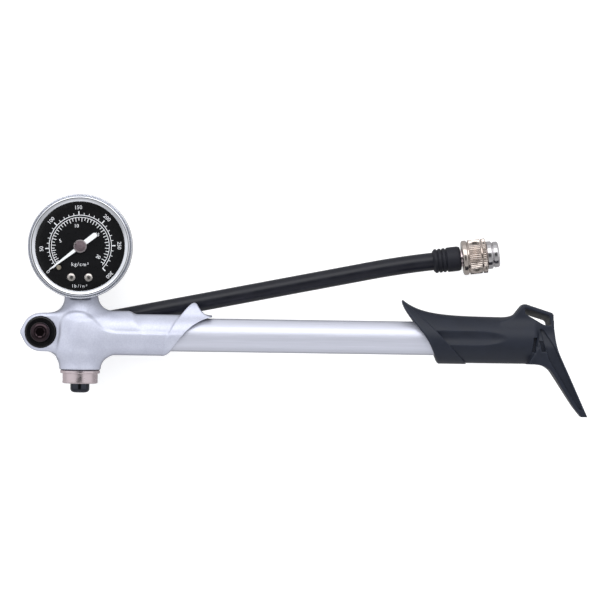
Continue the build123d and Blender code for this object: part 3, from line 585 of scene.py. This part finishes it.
def head_upper(x, y, z):
    """Neck, shoulder, ear web and the back layer of the sleeve."""
    sleeve_r = 9.65
    sleeve = common(bar_x(y, z, sleeve_r), np.maximum(-3 - x, x - 66), 0.5)
    shoulder_end = (x - 28.9) * 0.87 + (z - 3.5) * 0.5
    shoulder = common(bar_x(y, z - 1.5, sleeve_r), np.maximum(shoulder_end, -2 - x), 0.8)
    neck = np.maximum(length(x - 0.15, y) - 8.1, -6 - z)
    column_r = 9.0
    column = np.maximum(length(x, y + 0.5) - column_r, z - 4)
    web = np.maximum(np.maximum(z - 9.7, -8.7 - z), np.maximum(EAR[0] - x, x - 2))
    flat = common(np.minimum(web, ear_outline(x, z)), np.abs(y - 0.3) - 8.2, 1.1)
    across = np.minimum(join(shoulder, sleeve, 0.8), flat)
    return join(join(neck, across, 7.0), column, 7.5)


def ear_outline(x, z):
    """The ear's round outline, drawn out to a blunt ridge at its far side."""
    u, v = x - EAR[0], np.abs(z - EAR[2])
    ridge = np.maximum(np.maximum(-(u + 10.3) * 0.893 + v * 0.449, v - 4.1), u + 3)
    return np.minimum(length(u, v) - 9.2, ridge)


SOFT_HEAD = softened(head_upper, 0.8)

# Front view of the raised boss: the column's domed front, running out along the sleeve
HEAD_BOSS = [(-11.6, -14), (-11.6, -20), (70, -20), (70, 0.6)] + curve(
    (-9.0, 0), (-8.7, 5.4), (-6.6, 8.8), (-3.2, 10.2), (0.4, 10.2), (3.6, 9.3), (6.6, 7.0),
    (9.4, 4.2), (12.6, 2.0), (16.5, 0.9), (22, 0.6))[::-1]

# Front view of the cape at the sleeve's end, with its upright fin
CAPE = curve(
    (41.5, -2.6), (43.2, 1.4), (45.6, 6.0), (49.3, 11.0), (52.5, 14.6), (54.3, 15.6),
    (55.5, 15.0), (56.8, 12.9), (58.6, 10.7), (60.8, 9.4), (63.6, 8.4)) + [(68, 8), (68, -14), (38, -14)]

# Front view of what lies beyond the sleeve's swept end
SLEEVE_CUT = curve(
    (38.5, -10.5), (40.6, -9.95), (42.2, -8.9), (43.4, -7.6), (45.4, -5.0), (49.0, -0.4),
    (53.2, 3.9), (58.0, 7.0), (62.9, 8.7)) + [(63.2, 30), (90, 30), (90, -12.5), (38.5, -12.5)]


def head_field(x, y, z):
    upper = SOFT_HEAD(x, y, z)
    proud = 0.42 + 0.5 * smooth_step(17, 7, x)
    boss = common(upper - proud, outline_field(HEAD_BOSS, x, z), 0.9)
    body = join(upper, boss, 1.1)
    rho = length(y, z) + 1e-6
    ridge = np.maximum(z / rho, 0) ** 14
    cape_r = 10.15 + 5.6 * ridge
    cape = common((rho - cape_r) * 0.7, outline_field(CAPE, x, z), 0.5)
    body = join(body, cape, 0.8)
    body = common(body, -outline_field(SLEEVE_CUT, x, z), 0.35)
    neck_top = NECK_TOP + 0.2 + 1.6 * smooth_step(-6.6, -5.6, y)
    body = common(body, np.maximum(COLUMN_BOTTOM - z, z - neck_top), 0.5)
    body = common(body, y - HEAD_BACK, 1.6)
    barrel_bore = np.maximum(bar_x(y, z, BARREL_R + 0.02), 12 - x)
    neck_bore = np.maximum(length(x, y) - 4.9, 8 - z)
    bleed_bore = np.maximum(length(x, y) - 6.02, z + 9.5)
    bolt_bore = length(x - EAR[0], z - EAR[2]) - 3.52
    recess = np.maximum(length(x - EAR[0], z - EAR[2]) - 7.6, y - corners("swivel_washer")[1][1])
    for bore in (barrel_bore, neck_bore, bleed_bore, bolt_bore, recess):
        body = common(body, -bore, 0.25)
    return body


def make_head(step):
    low, high = corners("head_body")
    head = solid("head_casting", head_field, low - 2.2, high + 2.6, step)
    finish_piece(head, "pump_body", "head_silver", HEAD_SILVER, "head_body")


# ======== handle

HANDLE_Z = -0.45
FLARE_TIP = 154.0


# Front view of everything behind the shell's slanted front edge
HANDLE_FRONT = curve(
    (153.9, 20.0), (153.9, 17.2), (155.8, 13.2), (159.4, 8.2), (165.4, 0.4), (168.6, -5.6),
    (171.6, -13.6)) + [(172, -60), (260, -60), (260, 20.0)]

# Front view of the raised band between the front edge and the crease behind it
HANDLE_BAND = [(150, 22), (154.6, 17.6), (169.0, 4.9), (185.0, -12.0), (187, -16), (150, -16)]

# Front view of the strap loop: its root on the shell, its outer side, and where it ends inside the shell
HANDLE_LOOP = curve(
    (201, 8.4), (204.6, 9.9), (207.2, 11.6), (209.2, 14.0), (211.2, 16.4), (212.9, 17.1), per=4) + [
    (225.4, 13.1), (226.2, 12.2), (226.3, 5.8), (227.3, -0.9), (229, -6.8), (212, -6), (200, 0)]
HANDLE_WINDOW = rounded(
    [(212.4, 15.3), (224.2, 11.7), (225.2, 7.0), (221.9, 7.2), (212.5, 12.6)], 1.2, True)

# Front view of the tail: its lower side, its outer side, and where it ends inside the shell
HANDLE_TAIL = curve(
    (214, -11.4), (218.3, -11.75), (221.6, -12.4), (223.8, -13.6), (225.8, -15.6),
    (230.4, -22.7), (236.0, -31.3), (240.2, -36.6), per=4) + curve(
    (243.2, -36.6), (235.9, -21.0), (229.2, -6.8), (227.4, -0.9), (226.3, 5.8), per=4) + [
    (226.2, 9), (221.5, 9), (219, 3), (219, -3)]

# Front view of the shallow channel that runs down the tail
HANDLE_CHANNEL = rounded(
    [(219.6, 5.4), (221.2, 5.2), (226.3, -2.6), (230.0, -10.5), (240.4, -33.0),
     (239.0, -33.0), (228.3, -16.2), (224.2, -9.8), (222.6, -4.0)], 1.0, True)


def handle_field(x, y, z):
    across = z - HANDLE_Z
    rho = length(y, across) + 1e-6
    flare = 7.9 * np.exp(-(x - FLARE_TIP) / 9.5) * np.maximum(across / rho, 0) ** 4
    shell = (rho - 11.1 - flare) * 0.8
    body = common(shell, x - 219.0, 2.5)
    flute = length(np.abs(y) - 15.7, z - 0.9, 0.27 * np.maximum(x - 188.5, 0)) - 6.1
    body = common(body, -flute, 0.25)
    band = common(shell - 0.4, outline_field(HANDLE_BAND, x, z), 0.3)
    body = np.minimum(body, band)
    loop = common(outline_field(HANDLE_LOOP, x, z), np.abs(y) - 7.4, 0.9)
    body = join(body, loop, 2.0)
    tail_half = 10.3 - 3.0 * smooth_step(-4, 5, z) - 4.6 * smooth_step(-6, -37, z)
    tail = common(outline_field(HANDLE_TAIL, x, z), np.abs(y) - tail_half, 0.8)
    body = join(body, tail, 0.8)
    channel = np.maximum(outline_field(HANDLE_CHANNEL, x, z), tail_half - 1.0 - np.abs(y))
    body = common(body, -channel, 0.5)
    slot = np.maximum(np.abs(x - 217.3 - 0.1 * z) - 0.75, np.abs(z + 2.4) - 3.4)
    pocket = np.maximum(np.abs(x - 220.9 + 0.25 * (z + 3)) - 0.9, np.abs(z + 2.9) - 2.5)
    for hollow in (slot, pocket):
        body = common(body, -np.maximum(hollow, 8.4 - np.abs(y)), 0.5)
    behind = np.clip((y + 7.4) / 14.8, 0, 1)
    body = common(body, -outline_field(HANDLE_WINDOW, x + 1.2 * behind, z + 2.6 * behind), 0.6)
    body = common(body, outline_field(HANDLE_FRONT, x, z), 0.9)
    bore = np.maximum(bar_x(y, z, 8.7), x - 207.8)
    seat = np.maximum(bar_x(y, z, 6.52), x - 220.0)
    for hole in (bore, seat):
        body = common(body, -hole, 0.2)
    return body


def make_handle(step):
    low, high = corners("handle_shell")
    handle = solid("handle_shell", handle_field, low - 2.5, high + 2.5, step)
    finish_piece(handle, "handle", "handle_plastic", HANDLE_PLASTIC, "handle_shell")


# ======== hose, boot and chuck

HOSE_R = (corners("hose_inner")[1][1] - corners("hose_inner")[0][1]) / 2
HOSE_BORE = 2.05
HOSE_START, HOSE_STRAIGHT, BOOT_LENGTH = 14.2, 160.0, 14.0


def hose_path():
    """Points along the middle of the hose, from the swivel's end to the chuck's end."""
    bend_start = SWIVEL + HOSE_DIR * HOSE_STRAIGHT
    bend_end = CHUCK - CHUCK_DIR * BOOT_LENGTH
    reach = np.linalg.norm(bend_end - bend_start) / 3
    points = [SWIVEL + HOSE_DIR * s for s in np.linspace(HOSE_START, HOSE_STRAIGHT, 90)]
    for t in np.linspace(0, 1, 20)[1:]:
        a, b = bend_start, bend_start + HOSE_DIR * reach
        c, d = bend_end - CHUCK_DIR * reach, bend_end
        points.append((1 - t) ** 3 * a + 3 * t * (1 - t) ** 2 * b + 3 * t * t * (1 - t) * c + t ** 3 * d)
    points += [bend_end + CHUCK_DIR * s for s in np.linspace(0, BOOT_LENGTH - 0.6 - CHUCK_SHIFT, 8)[1:]]
    return np.array(points)


def make_hose():
    """One rubber tube along the hose's path, with a bend between its straight run from the swivel and the
    chuck's end.
    """
    path = hose_path()
    segments = 48
    angles = np.arange(segments) * 2 * pi / segments
    tangent = np.gradient(path, axis=0)
    tangent /= np.linalg.norm(tangent, axis=1, keepdims=True)
    verts = []

    def loop(centre, direction, radius):
        up = np.cross(direction, FORWARD)
        for angle in angles:
            verts.append(centre + radius * (up * cos(angle) + FORWARD * sin(angle)))

    edge = 0.35
    start, end = path[0], path[-1]
    loop(start, tangent[0], HOSE_BORE)
    loop(start, tangent[0], HOSE_R - edge)
    for centre, direction in zip(path, tangent):
        shift = edge if centre is path[0] else 0
        loop(centre + direction * shift, direction, HOSE_R)
    loop(end, tangent[-1], HOSE_BORE)
    for centre, direction in zip(path[::-1], tangent[::-1]):
        loop(centre, direction, HOSE_BORE)
    rings = [range(first, first + segments) for first in range(0, len(verts), segments)]
    hose = clean(add_object("hose", verts, bridged(rings)))
    paint(hose, HOSE_RUBBER)
    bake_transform(hose)
    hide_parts("hose_inner", "hose_outer")


def make_boot():
    """The rubber boot: three ridges and a barrel behind the thumb nut."""
    bore = HOSE_R + 0.02
    points = [(bore, -14.2), (4.7, -14.2), (5.45, -13.5)]
    for start in (-13.3, -11.3, -9.3):
        points += [(5.8, start), (5.85, start + 0.55), (5.8, start + 1.1)]
        points += [(5.3, start + 1.4), (5.3, start + 1.65)]
    points += [(5.95, -7.2), (6.0, -4.4), (5.95, -1.9), (5.5, -0.8), (bore, -0.6)]
    boot = turned("hose_boot", ring_profile(rounded(points, 0.4)), CHUCK, CHUCK_DIR, 80, sharp_deg=50)
    finish_piece(boot, "hose_end", "boot_rubber", BOOT_RUBBER, "hose_boot")


KNURL_TEETH = 52
KNURL_STEPS = 6         # points of the mesh round the nut for each tooth


def knurl(start, end, depth, fade=0.25):
    """A shape function that cuts straight V grooves between two places along the axis."""
    def shape(radius, along, angle):
        if along < start - 1e-6 or along > end + 1e-6:
            return radius
        wave = abs((angle * KNURL_TEETH / (2 * pi)) % 1.0 - 0.5) * 2
        ends = min(1.0, (along - start) / fade, (end - along) / fade) if end - start > 2 * fade else 1.0
        return radius - depth * min(1.0, 1.35 * wave) * max(0.0, ends)
    return shape


def make_nut():
    """The thumb nut: a flange, a long knurl and a short one, with grooves between them."""
    coarse, front = knurl(3.3, 9.2, 0.5), knurl(9.8, 11.7, 0.5, 0.2)

    def shape(radius, along, angle):
        if radius < 8.0:
            return radius
        return min(coarse(radius, along, angle), front(radius, along, angle))

    flange = [(4.05, 0), (7.6, 0), (8.35, 0.45), (8.45, 1.4), (8.35, 2.4), (7.9, 2.75), (7.5, 2.8)]
    flange = rounded(flange, 0.3)
    barrel = [(7.5, 3.15), (7.9, 3.25), (8.35, 3.3), (8.35, 3.6), (8.35, 6.3), (8.35, 8.9), (8.35, 9.2),
              (7.9, 9.25), (7.6, 9.35)]
    ring = [(7.6, 9.65), (7.9, 9.75), (8.4, 9.8), (8.4, 10.1), (8.4, 11.4), (8.4, 11.7), (7.9, 11.85),
            (7.0, 11.9)]
    seat = 3.3 - CHUCK_SHIFT    # the inner step stays clear of the chuck core's shoulder
    inside = [(5.6, 11.9), (5.6, seat), (4.05, seat)]
    nut = turned("thumb_nut", ring_profile(flange + barrel + ring + inside), CHUCK, CHUCK_DIR,
                 KNURL_TEETH * KNURL_STEPS, shape, sharp_deg=28)
    finish_piece(nut, "thumb_nut", "chuck_nickel", KNURL_NICKEL, "chuck_nut")


def make_tip():
    """The threaded mouth: two rounded rings outside, a thread inside."""
    outside = rounded([(5.58, 10.5), (5.58, 11.95), (6.4, 11.95), (6.75, 12.3), (6.75, 14.2), (6.4, 14.6),
                       (5.85, 14.75), (5.85, 15.1), (6.2, 15.25), (6.28, 15.6), (6.28, 17.1), (5.9, 17.7),
                       (5.2, 17.95), (4.5, 17.95), (4.0, 17.5)], 0.25, steps=3)
    thread = []
    pitch, depth = 0.8, 0.32
    place = 17.3
    while place > 11.2:
        thread += [(3.85, place), (3.85 + depth, place - pitch / 2)]
        place -= pitch
    profile = ring_profile(outside + thread + [(3.85, 10.5)])
    tip = turned("chuck_tip", profile, CHUCK, CHUCK_DIR, sharp_deg=35)
    finish_piece(tip, "thumb_nut", "chuck_nickel", TIP_NICKEL, "chuck_tip")


# ======== gauge

def dial_point(radius, angle, depth=0.0):
    """A point on the dial; the angle is counted anticlockwise from +X, depth towards the viewer."""
    a = radians(angle)
    return GAUGE + RIGHT * radius * cos(a) + UP * radius * sin(a) + np.array((0, DIAL_Y - depth, 0))


def pressure_angle(psi):
    """Where a pressure is printed: closer together below 50, even above it."""
    return 219 - 0.69 * psi if psi < 50 else 184.5 - 0.913 * (psi - 50)


PSI_PER_BAR = 14.22     # lb/in2 in one kg/cm2, the unit of the inner scale
INK = 0.03              # how far the print stands off the dial


def printed_bar(verts, faces, angle, inner, outer, width):
    """One radial tick of the scale."""
    a = radians(angle)
    across = (-sin(a) * RIGHT + cos(a) * UP) * width / 2
    base = len(verts)
    for side, radius in ((-1, inner), (1, inner), (1, outer), (-1, outer)):
        verts.append(dial_point(radius, angle, INK) + across * side)
    faces.append(list(range(base, base + 4)))


def printed_arc(verts, faces, radius, width, start, end, steps=150):
    base = len(verts)
    for i in range(steps + 1):
        angle = start + (end - start) * i / steps
        verts.append(dial_point(radius - width / 2, angle, INK))
        verts.append(dial_point(radius + width / 2, angle, INK))
    for i in range(steps):
        k = base + 2 * i
        faces.append([k, k + 2, k + 3, k + 1])


def printed_text(verts, faces, text, height, centre, turn_deg=0.0, weight=0.0, spacing=1.0):
    """Flat lettering on the dial, centred on a point and turned about it."""
    font = bpy.data.curves.new("lettering", "FONT")
    font.body = text
    font.size = 1.0
    font.offset = weight
    font.space_character = spacing
    font.align_x, font.align_y = "CENTER", "CENTER"
    font.resolution_u = 3
    obj = add_to_scene("lettering", font)
    mesh = obj.to_mesh()
    points = np.array([v.co[:2] for v in mesh.vertices])
    polygons = [list(p.vertices) for p in mesh.polygons]
    obj.to_mesh_clear()
    bpy.data.objects.remove(obj)
    bpy.data.curves.remove(font)
    low, high = points.min(0), points.max(0)
    points = (points - (low + high) / 2) * height / 0.73
    a = radians(turn_deg)
    base = len(verts)
    for u, v in points:
        verts.append(centre + RIGHT * (u * cos(a) - v * sin(a)) + UP * (u * sin(a) + v * cos(a)))
    faces.extend([[base + i for i in polygon] for polygon in polygons])


def make_dial_print():
    """Both scales with their arcs, ticks and numbers, and the two units."""
    verts, faces = [], []
    outer, inner = 14.85, 13.8
    printed_arc(verts, faces, outer, 0.3, pressure_angle(0), pressure_angle(300))
    printed_arc(verts, faces, inner, 0.26, pressure_angle(0) - 2, pressure_angle(300) + 4)
    for psi in range(0, 301, 10):
        major = psi % 50 == 0
        reach, width = (1.9, 0.5) if major else (1.15, 0.28)
        printed_bar(verts, faces, pressure_angle(psi), outer, outer + reach, width)
    for half in range(1, 42):
        angle = pressure_angle(half * 0.5 * PSI_PER_BAR)
        reach = 2.0 if half % 2 == 0 else 1.5
        printed_bar(verts, faces, angle, inner - reach, inner, 0.3)
    for psi in range(0, 301, 50):
        angle = pressure_angle(psi)
        radius = 19.5 if psi in (0, 300) else 18.6
        printed_text(verts, faces, str(psi), 1.85, dial_point(radius, angle, INK), angle - 90, 0.004)
    for bar in (5, 10, 15, 20):
        angle = pressure_angle(bar * PSI_PER_BAR)
        place = dial_point(9.9, angle, INK)
        printed_text(verts, faces, str(bar), 1.7, place, 0.25 * (angle - 90), 0.004)
    printed_text(verts, faces, "kg/cm²", 1.75, dial_point(8.8, 270, INK), 0, 0.002, 1.3)
    printed_text(verts, faces, "lb/in²", 1.6, dial_point(18.9, 270, INK), 0, 0.0, 1.5)
    ink = add_object("dial_print", verts, faces)
    finish_piece(ink, "pump_body", "pointer_white", DIAL_WHITE)


def make_bezel():
    """Rolled chrome bezel: a thin outer lip, a groove, and a broad sloping band down to the lens."""
    back = [(23.3, 12.3), (23.3, 6.6), (24.7, 6.6), (25.0, 7.0)]
    lip = [(25.0, 11.3), (24.85, 11.95), (24.6, 12.15), (24.35, 11.95), (24.3, 11.0), (23.85, 11.0)]
    band = [(23.8, 12.8), (23.65, 13.2), (23.3, 13.42), (22.8, 13.38), (22.3, 13.2), (21.8, 12.9),
            (21.4, 12.55), (21.25, 12.3)]
    profile = ring_profile(back + rounded(lip + band, 0.25, steps=3))
    bezel = turned("gauge_bezel", profile, GAUGE, FORWARD, 160, sharp_deg=40)
    finish_piece(bezel, "pump_body", "chrome", CHROME, "gauge_bezel")


def make_lens():
    """The lens: flat, falling off a little at its rim."""
    rim, steps = 21.25, 20
    front = [(rim * k / steps, 12.75 - 0.5 * (k / steps) ** 6) for k in range(steps + 1)]
    back = [(rim * k / steps, 11.9) for k in range(steps, -1, -1)]
    lens = turned("gauge_lens", front + back, GAUGE, FORWARD)
    finish_piece(lens, "pump_body", "lens_glass", LENS_CLEAR, "gauge_lens")


def make_pointer():
    """Needle with a tapered blade and a round-ended tail."""
    turn = 218.0
    front, back = -DIAL_Y + 1.35, -DIAL_Y + 1.05
    blade = [(0, 0.95), (17.9, 0.24), (18.6, 0.1), (18.6, -0.1), (17.9, -0.24), (0, -0.95)]
    end = [(-8.6 + 1.2 * cos(radians(a)), 1.2 * sin(radians(a))) for a in range(270, 89, -20)]
    outline = blade + [(-1.5, -1.15)] + end + [(-1.5, 1.15)]
    a = radians(turn)
    verts = []
    along, across = RIGHT * cos(a) + UP * sin(a), UP * cos(a) - RIGHT * sin(a)
    for depth in (back, front):
        for u, v in outline:
            verts.append(GAUGE + along * u + across * v + FORWARD * depth)
    count = len(outline)
    low, high = range(count), range(count, 2 * count)
    faces = [low, high[::-1]] + bridged([low, high])
    needle = clean(add_object("pointer_needle", verts, faces))
    finish_piece(needle, "pointer", "pointer_white", POINTER_WHITE, "pointer")


def make_pointer_hub():
    """The round rim and the copper-coloured cap on the needle."""
    ring = [(0, 10.5), (3.0, 10.5), (3.2, 10.8), (3.2, 11.35), (2.95, 11.6), (2.6, 11.6), (2.5, 11.4),
            (0, 11.4)]
    rim = turned("pointer_hub_rim", rounded(ring, 0.12), GAUGE, FORWARD, 64)
    finish_piece(rim, "pointer", "brass", HUB_RIM, "pointer")
    top = [(0, 11.3), (2.48, 11.3), (2.45, 11.5), (1.1, 11.55), (0.95, 11.7), (0.8, 11.72), (0, 11.7)]
    cap = turned("pointer_hub_cap", rounded(top, 0.1), GAUGE, FORWARD, 64)
    finish_piece(cap, "pointer", "brass", HUB_COPPER, "pointer")


def make_dial_screws():
    """Two domed slotted screws that hold the dial."""
    low, high = corners("dial_screws")
    for number, x in enumerate((low[0] + 2.1, high[0] - 2.1)):
        place = np.array((x, DIAL_Y, middle("dial_screws")[2]))
        dome = [(2.1 * cos(radians(a)), 0.25 + 0.75 * sin(radians(a))) for a in range(0, 91, 9)]
        name = "dial_screw_%d" % (number + 1)
        screw = turned(name, [(0, 0), (2.1, 0)] + dome, place, FORWARD, 48)
        finish_piece(screw, "pump_body", "steel", SCREW_STEEL, "dial_screws")


# ======== swivel bolt, collar and bleed button

def make_bolt():
    """The dark socket-head bolt of the swivel: a domed head with a hexagon socket, and its shank."""
    low, high = corners("swivel_bolt")
    face, end = -low[1], -high[1]
    socket_depth, hexagon = 2.4, 1.95

    def shape(radius, along, angle):
        if radius != hexagon:
            return radius
        return hexagon / cos((angle + pi / 6) % (pi / 3) - pi / 6)

    head = [(3.6, face - 0.2), (4.2, face - 0.55), (4.65, face - 1.1), (4.85, face - 1.8), (4.9, face - 3.2),
            (3.5, face - 3.2)]
    shank = [(3.5, end + 0.5), (3.1, end), (0, end)]
    rim = [(0, face - socket_depth), (hexagon, face - socket_depth), (hexagon, face - 0.3),
           (2.45, face - 0.05), (2.9, face)]
    bolt = turned("swivel_bolt", rim + head + shank, EAR, FORWARD, 72, shape)
    finish_piece(bolt, "pump_body", "bolt_black", BOLT_BLACK, "swivel_bolt")


def make_washer():
    """The black washer under the bolt head: flat land with a rounded rim."""
    low, high = corners("swivel_washer")
    face, back = -low[1], -high[1]
    points = [(3.6, back), (7.5, back), (7.5, face - 0.6), (7.2, face - 0.15), (6.7, face), (5.2, face - 0.1),
              (3.6, face - 0.15)]
    washer = turned("swivel_washer", ring_profile(rounded(points, 0.15, steps=3)), EAR, FORWARD)
    finish_piece(washer, "pump_body", "washer_black", WASHER_BLACK, "swivel_washer")


COLLAR_TOP = COLUMN_BOTTOM - 0.4
COLUMN_AXIS = np.zeros(3)


def make_bleed_gasket():
    """The dark seal between the column and the collar."""
    points = [(6.0, COLLAR_TOP), (9.1, COLLAR_TOP), (9.25, COLLAR_TOP + 0.2), (9.1, COLUMN_BOTTOM),
              (6.0, COLUMN_BOTTOM)]
    gasket = turned("bleed_gasket", ring_profile(points), COLUMN_AXIS, UP)
    finish_piece(gasket, "pump_body", "seal_black", SEAL_BLACK, "bleed_gasket")


def make_bleed_collar():
    """The nickel collar with a flat for a spanner."""
    bottom = corners("bleed_collar")[0][2]
    step = corners("bleed_gasket")[0][2]
    flange = COLLAR_TOP - 1.5

    def shape(radius, along, angle):
        """Flattens the collar's left front where the spanner grips."""
        turned_by = (angle - radians(168) + pi) % (2 * pi) - pi
        flat = 7.6 / cos(turned_by) if abs(turned_by) < 1.2 else 99
        return min(radius, flat) if radius > 8 and bottom + 0.8 < along < flange - 0.1 else radius

    outside = [(7.9, bottom), (8.45, bottom + 0.3), (8.5, bottom + 0.75), (8.5, bottom + 0.85),
               (8.5, flange - 0.15), (8.5, flange), (9.3, flange + 0.05), (9.5, flange + 0.3),
               (9.5, COLLAR_TOP - 0.3), (9.3, COLLAR_TOP)]
    inside = [(6.1, COLLAR_TOP), (6.1, step), (5.9, step), (5.9, bottom + 1.4), (4.75, bottom + 1.4),
              (4.75, bottom)]
    collar = turned("bleed_collar", ring_profile(outside + inside), COLUMN_AXIS, UP, 180, shape, 25)
    finish_piece(collar, "pump_body", "nickel", NICKEL, "bleed_collar")


def make_bleed_button():
    """The shiny black button under the collar."""
    low, high = corners("bleed_button")
    points = [(0, low[2]), (2.9, low[2]), (4.0, low[2] + 0.4), (4.55, low[2] + 1.3), (4.6, low[2] + 2.2),
              (4.6, high[2]), (0, high[2])]
    button = turned("bleed_button", rounded(points, 0.4), COLUMN_AXIS, UP, 72)
    finish_piece(button, "bleed_valve", "button_black", BUTTON_BLACK, "bleed_button")


def make_spring(node):
    """A copy of the CAD's coil spring, standing in its place on the pump body."""
    source = NODES[node]
    verts = [source.matrix_world @ v.co / MM for v in source.data.vertices]
    faces = [list(p.vertices) for p in source.data.polygons]
    spring = clean(add_object(node + "_coil", verts, faces), 60)
    finish_piece(spring, "pump_body", "steel", STEEL, node)
    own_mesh(spring)


# ======== stage, light and camera

def board_material(name, colour):
    """A pale matt board that glows a little, looks darker in reflections, and is clear from behind."""
    n = Nodes(name)
    grain = n.noise(30.0, 2.0)
    tone = n.mix(n.span(grain, 0.3, 0.7, 0.0, 1.0), scaled(colour, 0.985), colour)
    path = n.add("LightPath")
    tone = n.mix(path.outputs["Is Glossy Ray"], tone, scaled(colour, 0.42))
    shader = n.add("BsdfDiffuse", {"Color": tone})
    seen = n.span(path.outputs["Is Camera Ray"], 0, 1, 0.12, 0.36)
    glow = n.add("Emission", {"Color": (1, 1, 1, 1), "Strength": seen})
    lit = n.add("AddShader", {0: shader.outputs[0], 1: glow.outputs[0]})
    clear = n.add("BsdfTransparent")
    side = n.add("NewGeometry").outputs["Backfacing"]
    return n.surface(n.mix_shaders(side, lit, clear))


BOARD_Y = 38.5


def make_board():
    """The pale board that the pump lies on, seen from straight above."""
    half = 1500.0
    centre = middle("barrel")
    square = ((-half, -half), (half, -half), (half, half), (-half, half))
    verts = [(centre[0] + u, BOARD_Y, v) for u, v in square]
    board = add_object("board", verts, [[0, 1, 2, 3]])
    paint(board, board_material("board pale", (0.86, 0.86, 0.86, 1)))


def add_light(name, place, target, width, height, power):
    lamp = bpy.data.lights.new(name, "AREA")
    lamp.shape = "RECTANGLE"
    lamp.size, lamp.size_y = width * MM, height * MM
    lamp.energy = power
    obj = add_to_scene(name, lamp)
    obj.location = Vector(place) * MM
    obj.rotation_euler = (Vector(target) - Vector(place)).to_track_quat("-Z", "Y").to_euler()
    return obj


def make_world():
    """Even light all round, a graded room in reflections, and plain white behind the object."""
    world = bpy.data.worlds.new("studio")
    bpy.context.scene.world = world
    n = Nodes("studio", world)
    split = n.add("SeparateXYZ", {0: n.add("TexCoord").outputs["Generated"]})
    ramp = n.add("ValToRGB", {"Fac": n.span(split.outputs["Z"], -1, 1, 0, 1)})
    stops = [(0.0, 0.95), (0.12, 0.66), (0.3, 0.50), (0.5, 0.98), (0.62, 1.0), (1.0, 1.0)]
    for i, (place, level) in enumerate(stops):
        stop = ramp.color_ramp.elements[i] if i < 2 else ramp.color_ramp.elements.new(place)
        stop.position = place
        stop.color = (level * 0.97, level * 0.98, level, 1)
    inputs = {"Value": split.outputs["Y"], "From Min": -0.985, "From Max": -0.90,
              "To Min": 0.10, "To Max": 0.95}
    camera_side = n.add("MapRange", inputs, interpolation_type="SMOOTHSTEP").outputs["Result"]
    room = n.add("Background", {"Color": ramp.outputs["Color"], "Strength": camera_side})
    even = n.add("Background", {"Color": (0.97, 0.98, 1, 1), "Strength": 0.94})
    white = n.add("Background", {"Color": (1, 1, 1, 1)})
    path = n.add("LightPath")
    lit = n.mix_shaders(path.outputs["Is Glossy Ray"], even, room)
    n.surface(n.mix_shaders(path.outputs["Is Camera Ray"], lit, white))


def make_lights():
    """A broad soft light from above and a weaker one from the front, which reflections don't show."""
    target = (90, 0, 5)
    add_light("top softbox", (60, -500, 440), target, 900, 440, 1.85)
    fill = add_light("front fill", (-120, -900, 180), target, 500, 500, 1.6)
    fill.visible_glossy = False


def make_camera():
    """Straight on from the front, turned a little so that the barrel dips to the right."""
    camera = bpy.data.cameras.new("camera")
    view_width, distance = 288.95, 1400.0
    camera.lens = camera.sensor_width * distance / view_width
    camera.clip_start, camera.clip_end = 0.01, 20
    obj = add_to_scene("camera", camera)
    aim = Vector((106.2, -6.0, 16.35))
    roll = radians(0.82)
    obj.matrix_world = (Matrix.Translation((aim + Vector((0, -distance, 0))) * MM)
                        @ Matrix.Rotation(-roll, 4, "Y") @ Matrix.Rotation(pi / 2, 4, "X"))
    bpy.context.scene.camera = obj


def make_scene():
    grid = 0.4
    dress_cad_nodes()
    make_head(grid)
    make_handle(grid)
    make_hose()
    make_boot()
    make_nut()
    make_tip()
    make_dial_print()
    make_bezel()
    make_lens()
    make_pointer()
    make_pointer_hub()
    make_dial_screws()
    make_bolt()
    make_washer()
    make_bleed_gasket()
    make_bleed_collar()
    make_bleed_button()
    make_spring("bleed_spring")
    make_spring("check_spring")
    make_board()
    make_world()
    make_lights()
    make_camera()
    bpy.context.scene.view_settings.view_transform = "Standard"


make_scene()
